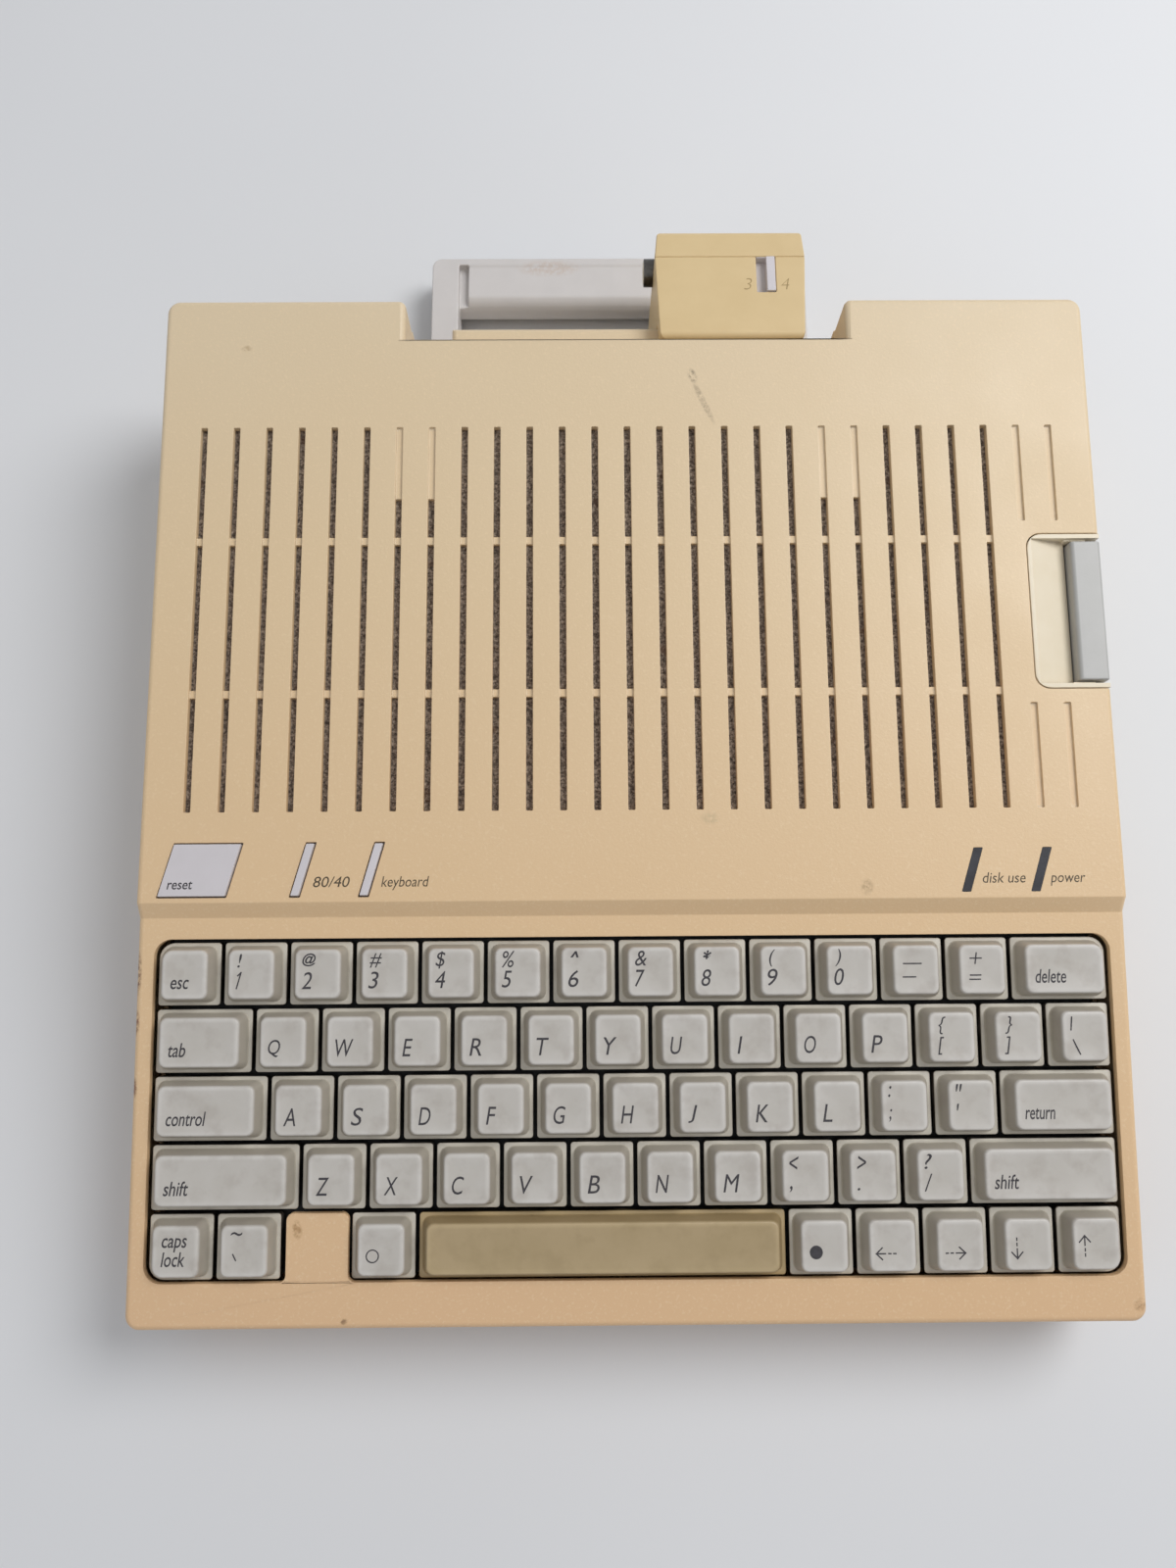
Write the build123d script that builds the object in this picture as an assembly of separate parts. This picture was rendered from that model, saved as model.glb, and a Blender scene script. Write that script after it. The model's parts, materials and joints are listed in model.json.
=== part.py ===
from build123d import *
import os
from math import cos, radians, sin, tan

os.makedirs("parts", exist_ok=True)

# A compact home computer of the 1980s: keyboard, disk drive and electronics in one
# wedge-shaped case with a carry handle at the back.
# Millimetres. Every piece is drawn with X = 0 on the middle line, Y = 0 at the front
# edge of the case and Z = 0 on the desk. The last step centres them on their footprint.

# ---------------------------------------------------------------- case
wall = 2.5
side_border = 5.3875
back_border = 6.585
rear_room = 28.9
case_corner = 4.0
edge_round = 1.8
foot_height = 2.5
foot_radius = 6.5
foot_inset = 22.0
foot_back_inset = 29.5
keyboard_slope = 6.5
deck_slope = 4.08
step_run = 4.0
step_rise = 3.35
seam_front_height = 18.0
seam_slope = 5.4
seam_reveal = 0.8
side_draft = 4.0
lip_height = 2.2
lip_depth = 3.0
lip_thickness = 1.5
lip_notch_gap = 4.0
seat_gap = 0.3
# An edge counts as upright when its direction has at least this much Z.
upright_share = 0.9
# How far a cut runs past the body that it cuts, and how far a joined block sinks in.
overrun = 5.0
bite = 0.5

# ---------------------------------------------------------------- vents in the deck
vent_pitch = 10.0
vent_width = 2.0
vent_front = 26.3
vent_length = 119.3
vent_side_margin = 13.0
vent_groove_depth = 0.9
vent_rib_places = (35.4, 82.9)
vent_rib_width = 2.4
blind_columns = (6, 7, 19, 20)
blind_start = 96.3
groove_only_columns = 2
groove_gap = 4.15
screen_thickness = 0.8
screen_margin = 4.0

# ---------------------------------------------------------------- notch and handle
notch_width = 138.0
notch_depth = 13.9
notch_tip_round = 2.0
notch_wall = 2.0
ledge_top = 49.0
ledge_plate = 2.0
ledge_round = 2.0
handle_corner = 3.5
ledge_gap = 1.9
handle_gap = 1.5
handle_thickness = 12.8
handle_reach = 56.9
arm_width = 9.6
grip_depth = 19.1
grip_round = 5.8
grip_lip = 3.5
grip_step = 0.4
grip_groove = 3.4
grip_groove_depth = 3.0
grip_web = 2.7
pivot_inset = 5.3
pivot_z = 8.6
pivot_radius = 2.5
pivot_clearance = 0.05

# ---------------------------------------------------------------- keyboard
key_pitch = 19.05
key_gap = 0.9
grid_units = 14.5
grid_rows = 5
grid_front = 12.5
rim_depth = 1.7
opening_margin = 0.45
opening_round = 5.0
tongue_start = 2.0
tongue_left_gap = 1.3
tongue_right_gap = 0.2
tongue_back_gap = 0.2
tongue_round = 2.0
skirt_height = 3.0
cap_height = 5.2
cap_ledge = 0.8
cap_side_slope = 1.8
cap_back_slope = 1.3
cap_corner = 1.2
outer_cap_corner = 4.2
cap_wall = 1.2
cap_roof = 2.2
stem_width = 5.0
stem_clearance = 0.3
key_travel = 3.5
stem_length = 12.0
plate_depth = 8.0
plate_thickness = 1.2
plate_margin = 2.0
switch_width = 13.8
switch_clearance = 0.1
switch_flange = 15.0
switch_height = 6.0
well_floor = 1.0
circuit_thickness = 1.6
rib_thickness = 2.0
rib_inset = 6.6
rib_end_gap = 8.0

# The width, in key units, of a key that types a character.
character_width = 1.0

# ---------------------------------------------------------------- buttons and lamps
control_front = 1.35
control_length = 16.0
control_slant = 4.45
reset_inset = 5.8
reset_width = 20.3
column_switch_inset = 44.05
layout_switch_inset = 63.95
latching_width = 3.25
control_gap = 0.45
control_height = 0.8
control_flange = 1.0
control_flange_gap = 0.1
control_flange_thickness = 1.5
control_body = 6.0
reset_travel = 1.6
latching_travel = 2.4
control_switch_half = 3.0
control_switch_depth = 7.0
control_switch_gap = 1.0
tab_margin = 3.0
lamp_front = 1.75
lamp_length = 12.8
lamp_slant = 4.1
lamp_width = 2.7
lamp_fit = 0.02
lamp_flange = 1.2
lamp_flange_thickness = 1.0
disk_lamp_inset = 48.2
power_lamp_inset = 28.05

# ---------------------------------------------------------------- disk drive
drive_width = 146.0
drive_height = 40.5
drive_setback = 13.0
drive_headroom = 1.92
drive_rise = 1.3
drive_side_gap = 0.3
drive_control_gap = 13.4
drive_wall = 1.6
drive_foot_radius = 5.0
drive_foot_inset = 6.0
slot_end_wall = 5.0
disk_slot_height = 5.0
disk_slot_rise = 26.2
disk_slot_run = 60.0
bezel_end = 3.0
bezel_chin = 16.0
bezel_thickness = 3.0
bezel_face_inset = 0.2
bezel_cover_drop = 6.0
bezel_neck_depth = 14.0
bezel_gap = 0.25
bezel_top_length = 48.0
bezel_top_inset = 22.4
bezel_corner = 4.5
bezel_pocket_gap = 2.0
scoop_rim = 1.4
scoop_drop = 4.2
scoop_shallow = 0.5
latch_length = 43.2
latch_inset = 9.2
latch_drop = 13.0
latch_proud = 0.3
latch_gap = 0.4
latch_pivot_in = 1.8
latch_pivot_drop = 3.5
latch_pin_radius = 1.2
latch_pin_length = 1.6
latch_round = 1.2
latch_edge_gap = 0.1
pin_end_gap = 0.5
cheek_thickness = 2.2
cheek_margin = 1.5
cheek_drop = 1.2

# ---------------------------------------------------------------- rear sockets
port_z = 24.0
port_recess = 0.3
panel_gap = 0.35
panel_side_room = 6.0
jack_plug_gap = 6.4
nine_way_width = 16.9
fifteen_way_width = 25.3
nineteen_way_width = 30.8
d_shell_height = 8.0
d_shell_lean = 1.4
d_shell_round = 2.0
d_plug_wall = 0.6
d_flange_height = 12.5
d_flange_overhang = 4.0
d_flange_thickness = 1.0
d_body_depth = 9.0
d_body_height = 10.6
d_body_overhang = 1.0
socket_leg_depth = 5.0
socket_leg_half = 4.0
din_radius = 7.8
din_wall = 1.0
din_depth = 12.0
din_recess = 7.0
rca_radius = 4.2
rca_bore = 1.8
rca_length = 9.0
rca_flange = 6.0
rca_flange_thickness = 3.0
rocker_width = 11.0
rocker_height = 18.0
rocker_depth = 7.0
rocker_tilt = 8.0
rocker_crown = 1.2
rocker_dip = 0.2
rocker_edge = 2.0
rocker_heel = 2.0
rocker_floor_gap = 0.6
rocker_end_gap = 0.8
rocker_side_gap = 0.2
rocker_frame = 1.6
rocker_frame_fit = 0.1
rocker_frame_lip = 0.6
rocker_room = 1.0
rocker_body_depth = 8.0
rocker_pin_radius = 1.0
rocker_pin_rise = 2.0
rocker_pin_bite = 0.7

# ---------------------------------------------------------------- plugged-in modulator
modulator_offset = 2.883
modulator_front_width = 46.2
modulator_back_width = 48.6
modulator_cover_width = 46.8
modulator_overhang = 9.3
modulator_length = 29.4
modulator_cover_length = 9.8
modulator_top = 57.0
modulator_bottom = 16.8
modulator_round = 2.2
modulator_step_gap = 0.8
modulator_ledge_gap = 0.6
channel_slot_offset = 11.5
channel_slot_width = 6.2
channel_slot_length = 13.0
channel_slot_depth = 3.0
channel_slider_width = 2.8
channel_slider_height = 3.4
channel_gap = 0.15
jack_behind_seam = 3.4
jack_z = 44.2
jack_radius = 4.4
jack_length = 3.0
jack_depth = 6.0
jack_bore = 1.7

# ---------------------------------------------------------------- left side
wheel_y = 62.0
wheel_z = 14.5
wheel_radius = 10.5
wheel_thickness = 3.2
wheel_showing = 0.6
wheel_gap = 0.4
wheel_pin_radius = 1.5
wheel_ear_half = 3.5
headphone_y = 84.0
headphone_radius = 3.6
headphone_bore = 1.8
headphone_length = 12.0
headphone_bore_depth = 10.0
headphone_inset = 0.2
headphone_leg_half = 4.0
headphone_leg_gap = 1.6

# ---------------------------------------------------------------- inside
board_rise = 3.0
board_thickness = 1.6
board_side_gap = 9.5
board_far_gap = 11.5
board_drive_gap = 5.5
board_front_reach = 11.6
board_back_gap = 4.5
board_strip_depth = 22.0
board_notch_gap = 3.0
board_screw_gap = 0.4
board_post_half = 2.2
board_post_inset = 6.0
chip_height = 3.6
chip_width = 7.0
chip_length = 19.0
chip_pitch = 15.0
chip_rows = 3
long_chips = 2
chip_space = 5.0
long_chip_length = 25.0
long_chip_width = 14.0
converter_length = 56.0
converter_width = 34.0
converter_height = 24.0
speaker_radius = 26.0
speaker_rim = 4.0
speaker_magnet_radius = 16.0
speaker_height = 9.0
speaker_inset = 55.5
speaker_y = 62.0
post_sides = 8
boss_radius = 3.4
boss_bore = 1.5
screw_radius = 1.45
screw_head_radius = 2.8
screw_head_height = 2.0
counterbore_radius = 3.1
post_wall = 1.2
screw_bridge = 2.5
screw_bite = 7.0
screw_tip_gap = 1.0
front_screw_y = 8.3
front_screw_inset = 43.5
middle_screw_inset = 93.5
middle_screw_run = 2.9
back_screw_inset = 21.5
base_slot_count = 12
base_slot_pitch = 8.0
base_slot_length = 60.0
base_slot_width = 2.4
base_slot_inset = 53.5
base_slot_y = 205.0

# ---------------------------------------------------------------- worked out from the above
# The case is as wide as its keys, as deep as its keys, drive and sockets need, and as high
# as the drive under the deck.
grid_width = grid_units * key_pitch
grid_depth = grid_rows * key_pitch
case_width = grid_width + 2 * side_border
half_width = case_width / 2
step_foot_y = (grid_front + grid_depth + back_border) * cos(radians(keyboard_slope))
deck_front_y = step_foot_y + step_run
drive_front_y = deck_front_y + drive_setback
drive_middle_y = drive_front_y + drive_width / 2
case_depth = drive_front_y + drive_width + rear_room
floor_top = foot_height + wall
drive_bottom = floor_top + drive_rise
drive_top = drive_bottom + drive_height
step_climb = step_foot_y * tan(radians(keyboard_slope)) + step_rise
deck_climb = drive_setback * tan(radians(deck_slope))
front_height = drive_top + drive_headroom + wall - step_climb - deck_climb

vent_columns = int((case_width - 2 * vent_side_margin) / vent_pitch) + 1
first_vent_x = -(vent_columns - 1) / 2 * vent_pitch
first_groove_only = vent_columns - groove_only_columns

notch_front = case_depth - notch_depth
notch_half = notch_width / 2
handle_width = notch_width - 2 * handle_gap
ledge_width = handle_width - 2 * (arm_width + ledge_gap)
half_ledge = ledge_width / 2
pivot_y = case_depth - pivot_inset
overall_depth = pivot_y + handle_reach

circuit_top = plate_depth + switch_height
# A pressed key's skirt stops just above the flange of its switch.
switch_flange_height = plate_depth - skirt_height - key_travel - seat_gap

reset_left = -half_width + reset_inset
column_switch_left = -half_width + column_switch_inset
layout_switch_left = -half_width + layout_switch_inset
disk_lamp_left = half_width - disk_lamp_inset
power_lamp_left = half_width - power_lamp_inset

# The drive fills the room between the controls and the leaning right-hand wall.
drive_back_y = drive_front_y + drive_width
seam_back_z = seam_front_height + drive_back_y * tan(radians(seam_slope))
drive_side_lean = (seam_back_z - drive_bottom) * tan(radians(side_draft))
drive_face_x = half_width - seam_reveal - wall - drive_side_lean - drive_side_gap
drive_left_x = layout_switch_left + latching_width + control_slant + drive_control_gap
disk_slot_length = drive_width - 2 * slot_end_wall
disk_slot_bottom = drive_bottom + disk_slot_rise - disk_slot_height / 2
disk_slot_top = disk_slot_bottom + disk_slot_height
bezel_length = disk_slot_length + 2 * bezel_end
bezel_bottom = disk_slot_bottom - bezel_chin
bezel_face_x = half_width - bezel_face_inset
bezel_top_left = half_width - bezel_top_inset
latch_left = half_width - latch_inset
# The middle of the drive's shelf, measured up the slope of the deck.
shelf_middle = (drive_middle_y - deck_front_y) / cos(radians(deck_slope))

modulator_front_y = case_depth - modulator_overhang
modulator_seam_y = modulator_front_y + modulator_length
modulator_back_y = modulator_seam_y + modulator_cover_length
jack_y = modulator_seam_y + jack_behind_seam

board_top = floor_top + board_rise + board_thickness
board_left = -half_width + board_side_gap
board_right = drive_left_x - board_drive_gap
board_far_right = half_width - board_far_gap
board_front = deck_front_y - board_front_reach
board_back = case_depth - board_back_gap
board_strip_front = board_back - board_strip_depth
reach = 2 * case_width


def keyboard_z(y):
    return front_height + y * tan(radians(keyboard_slope))


def deck_z(y):
    return front_height + step_climb + (y - deck_front_y) * tan(radians(deck_slope))


def seam_z(y):
    return seam_front_height + y * tan(radians(seam_slope))


def sloping_plane(x, y, z, slope):
    """A plane through a point that climbs towards the back; its own Y runs up the slope."""
    lean = radians(slope)
    return Plane(origin=(x, y, z), x_dir=(1, 0, 0), z_dir=(0, -sin(lean), cos(lean)))


deck = sloping_plane(0, deck_front_y, deck_z(deck_front_y), deck_slope)
seam = sloping_plane(0, 0, seam_front_height, seam_slope)
keyboard_surface = sloping_plane(-grid_width / 2, 0, front_height, keyboard_slope)
keys_plane = keyboard_surface * Plane.XY.move(Location((0, grid_front, -rim_depth)))


def block(low, high):
    """A box between two corners."""
    size = [b - a for a, b in zip(low, high)]
    middle = [(a + b) / 2 for a, b in zip(low, high)]
    return Pos(*middle) * Box(*size)


def prism(place, outline, bottom, top):
    """An outline on a plane, given thickness between two heights above that plane."""
    return place * (Pos(0, 0, bottom) * extrude(outline, amount=top - bottom))


def column(x, y, bottom, top, radius):
    return Pos(x, y, (bottom + top) / 2) * Cylinder(radius, top - bottom)


def faceted_column(x, y, bottom, top, radius):
    """An upright post with flat sides that a circle of this radius fits inside."""
    outline = RegularPolygon(radius, post_sides, major_radius=False)
    return Pos(x, y, bottom) * extrude(outline, top - bottom)


def spread(low, high, widths):
    """The middles of pieces that stand side by side, evenly spaced between two X's."""
    gap = (high - low - sum(widths)) / (len(widths) + 1)
    middles = []
    edge = low
    for width in widths:
        edge += gap
        middles.append(edge + width / 2)
        edge += width
    return middles


def rod(axis, centre, length, radius):
    """A cylinder along X or Y about its centre."""
    turn = Rot(0, 90, 0) if axis == "x" else Rot(90, 0, 0)
    return Pos(*centre) * turn * Cylinder(radius, length)


# ---------------------------------------------------------------- keyboard layout
def row_of(start, widths):
    """Left edges and widths, in key units, of keys that stand side by side."""
    places = []
    for width in widths:
        places.append((start, width))
        start += width
    return places


def characters(start, count):
    return row_of(start, [character_width] * count)


front_row = 0
key_groups = {
    "number_row_keys": (4, characters(1.0, 12)),
    "upper_row_keys": (3, characters(1.5, 13)),
    "home_row_keys": (2, characters(1.75, 11)),
    "lower_row_keys": (1, characters(2.25, 10)),
    "escape_key": (4, [(0.0, 1.0)]),
    "delete_key": (4, [(13.0, 1.5)]),
    "tab_key": (3, [(0.0, 1.5)]),
    "control_key": (2, [(0.0, 1.75)]),
    "return_key": (2, [(12.75, 1.75)]),
    "left_shift_key": (1, [(0.0, 2.25)]),
    "right_shift_key": (1, [(12.25, 2.25)]),
    "caps_lock_key": (front_row, [(0.0, 1.0)]),
    "grave_key": (front_row, [(1.0, 1.0)]),
    "left_symbol_key": (front_row, [(3.0, 1.0)]),
    "space_bar": (front_row, [(4.0, 5.5)]),
    "right_symbol_key": (front_row, [(9.5, 1.0)]),
    "left_arrow_key": (front_row, [(10.5, 1.0)]),
    "right_arrow_key": (front_row, [(11.5, 1.0)]),
    "down_arrow_key": (front_row, [(12.5, 1.0)]),
    "up_arrow_key": (front_row, [(13.5, 1.0)]),
}


def key_centre(row, start, width):
    return (start + width / 2) * key_pitch, (row + 0.5) * key_pitch


def all_keys():
    return [(row, start, width) for row, keys in key_groups.values() for start, width in keys]


# ---------------------------------------------------------------- top case
def side_outline(inset, drop):
    """The top case's outline from the side, moved inwards by a wall."""
    back = case_depth - inset
    return [
        (inset, seam_z(inset) - drop),
        (inset, keyboard_z(inset) - inset),
        (step_foot_y, keyboard_z(step_foot_y) - inset),
        (deck_front_y, deck_z(deck_front_y) - inset),
        (back, deck_z(back) - inset),
        (back, seam_z(back) - drop),
    ]


def is_upright(edge):
    return abs((edge @ 1 - edge @ 0).normalized().Z) > upright_share


def case_top_edges(solid):
    """The edges all round the top face, where it turns down into the side walls."""
    found = []
    for edge in solid.edges():
        middle = edge.center()
        beside = abs(middle.X) > half_width - case_corner - edge_round
        at_end = middle.Y < case_corner or middle.Y > case_depth - case_corner
        if middle.Z > seam_z(middle.Y) + wall and not is_upright(edge) and (beside or at_end):
            found.append(edge)
    return found


def bezel_side_window(gap):
    """The opening for the disk drive's face, in both halves of the case."""
    half = bezel_length / 2 + gap
    top = deck_z(drive_middle_y - half) - bezel_cover_drop + gap
    low = (bezel_top_left, drive_middle_y - half, bezel_bottom - gap)
    high = (half_width + overrun, drive_middle_y + half, top)
    window = block(low, high)
    return fillet(window.edges().filter_by(Axis.X), bezel_corner)


def bezel_top_window(gap, depth):
    """The opening for the drive's face where it turns over the edge of the deck."""
    span = half_width + overrun - bezel_top_left + gap
    outline = Pos(bezel_top_left - gap + span / 2, shelf_middle) * Rectangle(span, bezel_top_length + 2 * gap)
    inboard = outline.vertices().sort_by(Axis.X)[:2]
    return prism(deck, fillet(inboard, bezel_corner), -depth, overrun)


def slanted_outline(left, width, front, length, slant, grow=0.0):
    """A parallelogram that leans to the right like italic print."""
    lean = slant / length * grow
    return make_face(Polyline(
        (left - grow - lean, front - grow),
        (left + width + grow - lean, front - grow),
        (left + width + slant + grow + lean, front + length + grow),
        (left + slant - grow + lean, front + length + grow),
        close=True,
    ))


def control_outline(left, width, grow):
    return slanted_outline(left, width, control_front, control_length, control_slant, grow)


def lamp_outline(left, grow):
    return slanted_outline(left, lamp_width, lamp_front, lamp_length, lamp_slant, grow)


def keyboard_opening():
    """The opening round the keys, with the tongue of case between two front keys."""
    low = -opening_margin
    right = grid_width + opening_margin
    back = grid_depth + opening_margin
    whole = Pos((low + right) / 2, back / 2) * Rectangle(right - low, back)
    whole = fillet(whole.vertices(), opening_round)
    tongue_left = tongue_start * key_pitch + tongue_left_gap
    tongue_right = (tongue_start + 1) * key_pitch - tongue_right_gap
    tongue_back = key_pitch - tongue_back_gap
    tongue = Pos((tongue_left + tongue_right) / 2, tongue_back / 2 - wall) * Rectangle(
        tongue_right - tongue_left, tongue_back + 2 * wall)
    opening = whole - tongue
    inner = [
        v for v in opening.vertices()
        if tongue_left - wall < v.X < tongue_right + wall and v.Y < tongue_back + wall
    ]
    return fillet(inner, tongue_round)


def vent_cuts():
    """Each vent is a shallow groove with through slots between two bridging ribs."""
    cuts = []
    half_rib = vent_rib_width / 2
    ends = [0.0]
    for place in vent_rib_places:
        ends += [place - half_rib, place + half_rib]
    ends.append(vent_length)
    slots = list(zip(ends[0::2], ends[1::2]))
    # The last grooves stop short of the drive's shelf.
    half_gap = bezel_top_length / 2 + bezel_gap + groove_gap
    gap_start = shelf_middle - vent_front - half_gap
    gap_end = shelf_middle - vent_front + half_gap
    for index in range(vent_columns):
        x = first_vent_x + index * vent_pitch
        grooves = [(0.0, vent_length)]
        if index >= first_groove_only:
            grooves = [(0.0, gap_start), (gap_end, vent_length)]
        for start, end in grooves:
            cuts.append(vent_cut(x, start, end, vent_groove_depth))
        if index >= first_groove_only:
            continue
        for start, end in slots:
            last = min(end, blind_start) if index in blind_columns else end
            cuts.append(vent_cut(x, start, last, 2 * wall))
    return cuts


def vent_cut(x, start, end, depth):
    outline = Pos(x, vent_front + (start + end) / 2) * Rectangle(vent_width, end - start)
    return prism(deck, outline, -depth, wall)


# The seven case screws: three at the front, a pair behind the keys, a pair at the back.
front_screw_x = half_width - front_screw_inset
screw_places = [(x, front_screw_y) for x in (-front_screw_x, 0.0, front_screw_x)]
middle_screw_x = half_width - middle_screw_inset
screw_places += [(side * middle_screw_x, deck_front_y + middle_screw_run) for side in (-1, 1)]
screw_places += [(side * (half_width - back_screw_inset), case_depth - back_screw_inset) for side in (-1, 1)]


def post_top(y):
    return seam_z(y) - lip_depth


def top_case():
    shell = extrude(Plane.YZ * make_face(Polyline(*side_outline(0, 0), close=True)), half_width, both=True)
    shell = fillet(shell.edges().filter_by(Axis.Z), case_corner)
    shell = fillet(case_top_edges(shell), edge_round)
    notch = block((-notch_half, notch_front, 0), (notch_half, case_depth + overrun, reach))
    shell -= notch
    tips = [
        e for e in shell.edges().filter_by(Axis.Z)
        if abs(abs(e.center().X) - notch_half) < wall and e.center().Y > case_depth - edge_round
    ]
    shell = fillet(tips, notch_tip_round)
    inside = Polyline(*side_outline(wall, reach / 4), close=True)
    hollow = extrude(Plane.YZ * make_face(inside), half_width - wall, both=True)
    hollow -= block(
        (-notch_half - notch_wall, notch_front - notch_wall, -reach),
        (notch_half + notch_wall, reach, reach))
    shell -= hollow
    for x, y in screw_places:
        under = (keyboard_z(y) if y < step_foot_y else deck_z(y)) - wall / 2
        shell += faceted_column(x, y, post_top(y), under, boss_radius)
    for x, y in screw_places:
        shell -= faceted_column(x, y, post_top(y) - overrun, post_top(y) + screw_bite, boss_bore)
    shell -= prism(keyboard_surface, Pos(0, grid_front) * keyboard_opening(), -4 * wall, wall)
    for cut in vent_cuts():
        shell -= cut
    for left, width in ((reset_left, reset_width), (column_switch_left, latching_width),
                        (layout_switch_left, latching_width)):
        shell -= prism(deck, control_outline(left, width, 0), -2 * wall, wall)
    for left in (disk_lamp_left, power_lamp_left):
        shell -= prism(deck, lamp_outline(left, 0), -2 * wall, wall)
    shell -= bezel_side_window(bezel_gap)
    shell -= bezel_top_window(bezel_gap, bezel_neck_depth)
    return shell


def vent_screen():
    """The dark woven screen stuck under the vents that go through."""
    left = first_vent_x - screen_margin
    right = first_vent_x + (first_groove_only - 1) * vent_pitch + screen_margin
    outline = Pos((left + right) / 2, vent_front + vent_length / 2) * Rectangle(
        right - left, vent_length + 2 * screen_margin)
    under = wall * cos(radians(deck_slope))
    return prism(deck, outline, -under - screen_thickness, -under)


# ---------------------------------------------------------------- bottom case
def lower_wedge(inset, bottom):
    """The bottom case's outer form, or its hollow when moved in by a wall."""
    half = half_width - seam_reveal - inset
    front = seam_reveal + inset
    length = (case_depth + notch_depth) / cos(radians(seam_slope)) - front
    outline = Pos(0, front + length / 2) * RectangleRounded(2 * half, length, case_corner)
    wedge = seam * extrude(outline, amount=-deck_z(case_depth), taper=side_draft)
    room = block((-reach, -reach, bottom), (reach, case_depth - inset, reach))
    return wedge & room


def seam_lip():
    """A thin inner wall that stands up inside the top case and keeps the halves in line."""
    half = half_width - wall - seat_gap
    front = wall + seat_gap
    back = (case_depth - wall) / cos(radians(seam_slope)) - seat_gap
    outer = Pos(0, (front + back) / 2) * RectangleRounded(2 * half, back - front, case_corner)
    inner = Pos(0, (front + back) / 2) * RectangleRounded(
        2 * half - 2 * lip_thickness, back - front - 2 * lip_thickness, case_corner - lip_thickness)
    lip = prism(seam, outer - inner, -lip_depth, lip_height)
    gap_half = notch_half + lip_notch_gap
    return lip - block((-gap_half, notch_front - lip_notch_gap, -reach), (gap_half, reach, reach))


def support_rib(v):
    """A low wall across the floor that carries the keyboard's circuit board."""
    under = keys_plane * Plane.XY.move(Location((0, v, -circuit_top - circuit_thickness)))
    y = under.origin.Y
    half = grid_width / 2 - rib_end_gap
    rib = block((-half, y, floor_top - bite), (half, y + rib_thickness, reach / 2))
    above = prism(sloping_plane(0, y, under.origin.Z, keyboard_slope), Rectangle(reach, reach), 0, reach)
    return rib - above


def d_outline(width, grow):
    """The D-shaped outline of a socket's metal shell, wide side up."""
    half = width / 2 + grow
    tall = d_shell_height / 2 + grow
    face = make_face(Polyline(
        (-half, tall), (half, tall), (half - d_shell_lean, -tall), (-half + d_shell_lean, -tall), close=True))
    return fillet(face.vertices(), d_shell_round + grow)


def facing_back(x, y, z):
    """A plane that looks out of the back of the case, with Z up on it."""
    return Plane(origin=(x, y, z), x_dir=(-1, 0, 0), z_dir=(0, 1, 0))


def flange_width(shell_width):
    return shell_width + 2 * d_flange_overhang


# The sockets stand evenly spaced along the panels left and right of the notch and inside it.
din_space = 2 * (din_radius + panel_gap)
rocker_space = rocker_width + 2 * rocker_frame
panel_outer = half_width - panel_side_room
panel_inner = notch_half + notch_wall
ledge_inner = half_ledge - notch_wall
rocker_x, power_socket_x, printer_x = spread(-panel_outer, -panel_inner, (rocker_space, din_space, din_space))
modem_x, joystick_x = spread(panel_inner, panel_outer, (din_space, flange_width(nine_way_width)))
# The video jack and the expansion socket stand so far apart that the modulator clears the jack.
video_pair_width = 2 * rca_flange + jack_plug_gap + flange_width(fifteen_way_width)
disk_port_x, pair_x = spread(-ledge_inner, ledge_inner, (flange_width(nineteen_way_width), video_pair_width))
video_x = pair_x - video_pair_width / 2 + rca_flange
expansion_x = pair_x + (video_pair_width - flange_width(fifteen_way_width)) / 2
modulator_x = expansion_x + modulator_offset
channel_slot_x = modulator_x + channel_slot_offset

d_sockets = {
    "joystick_socket": (joystick_x, nine_way_width),
    "video_expansion_socket": (expansion_x, fifteen_way_width),
    "disk_drive_socket": (disk_port_x, nineteen_way_width),
}


def panel_cuts():
    """Holes in the back wall for every socket and the power switch."""
    cuts = []
    depth = wall + overrun
    for x, width in d_sockets.values():
        outline = d_outline(width, d_plug_wall + 2 * panel_gap)
        cuts.append(prism(facing_back(x, case_depth, port_z), outline, -depth, overrun))
    for x in (modem_x, printer_x, power_socket_x):
        cuts.append(rod("y", (x, case_depth, port_z), 2 * depth, din_radius + panel_gap))
    cuts.append(rod("y", (video_x, case_depth, port_z), 2 * depth, rca_radius + panel_gap))
    outline = Rectangle(rocker_space, rocker_height + 2 * rocker_frame)
    cuts.append(prism(facing_back(rocker_x, case_depth, port_z), outline, -depth, overrun))
    return cuts


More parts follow.
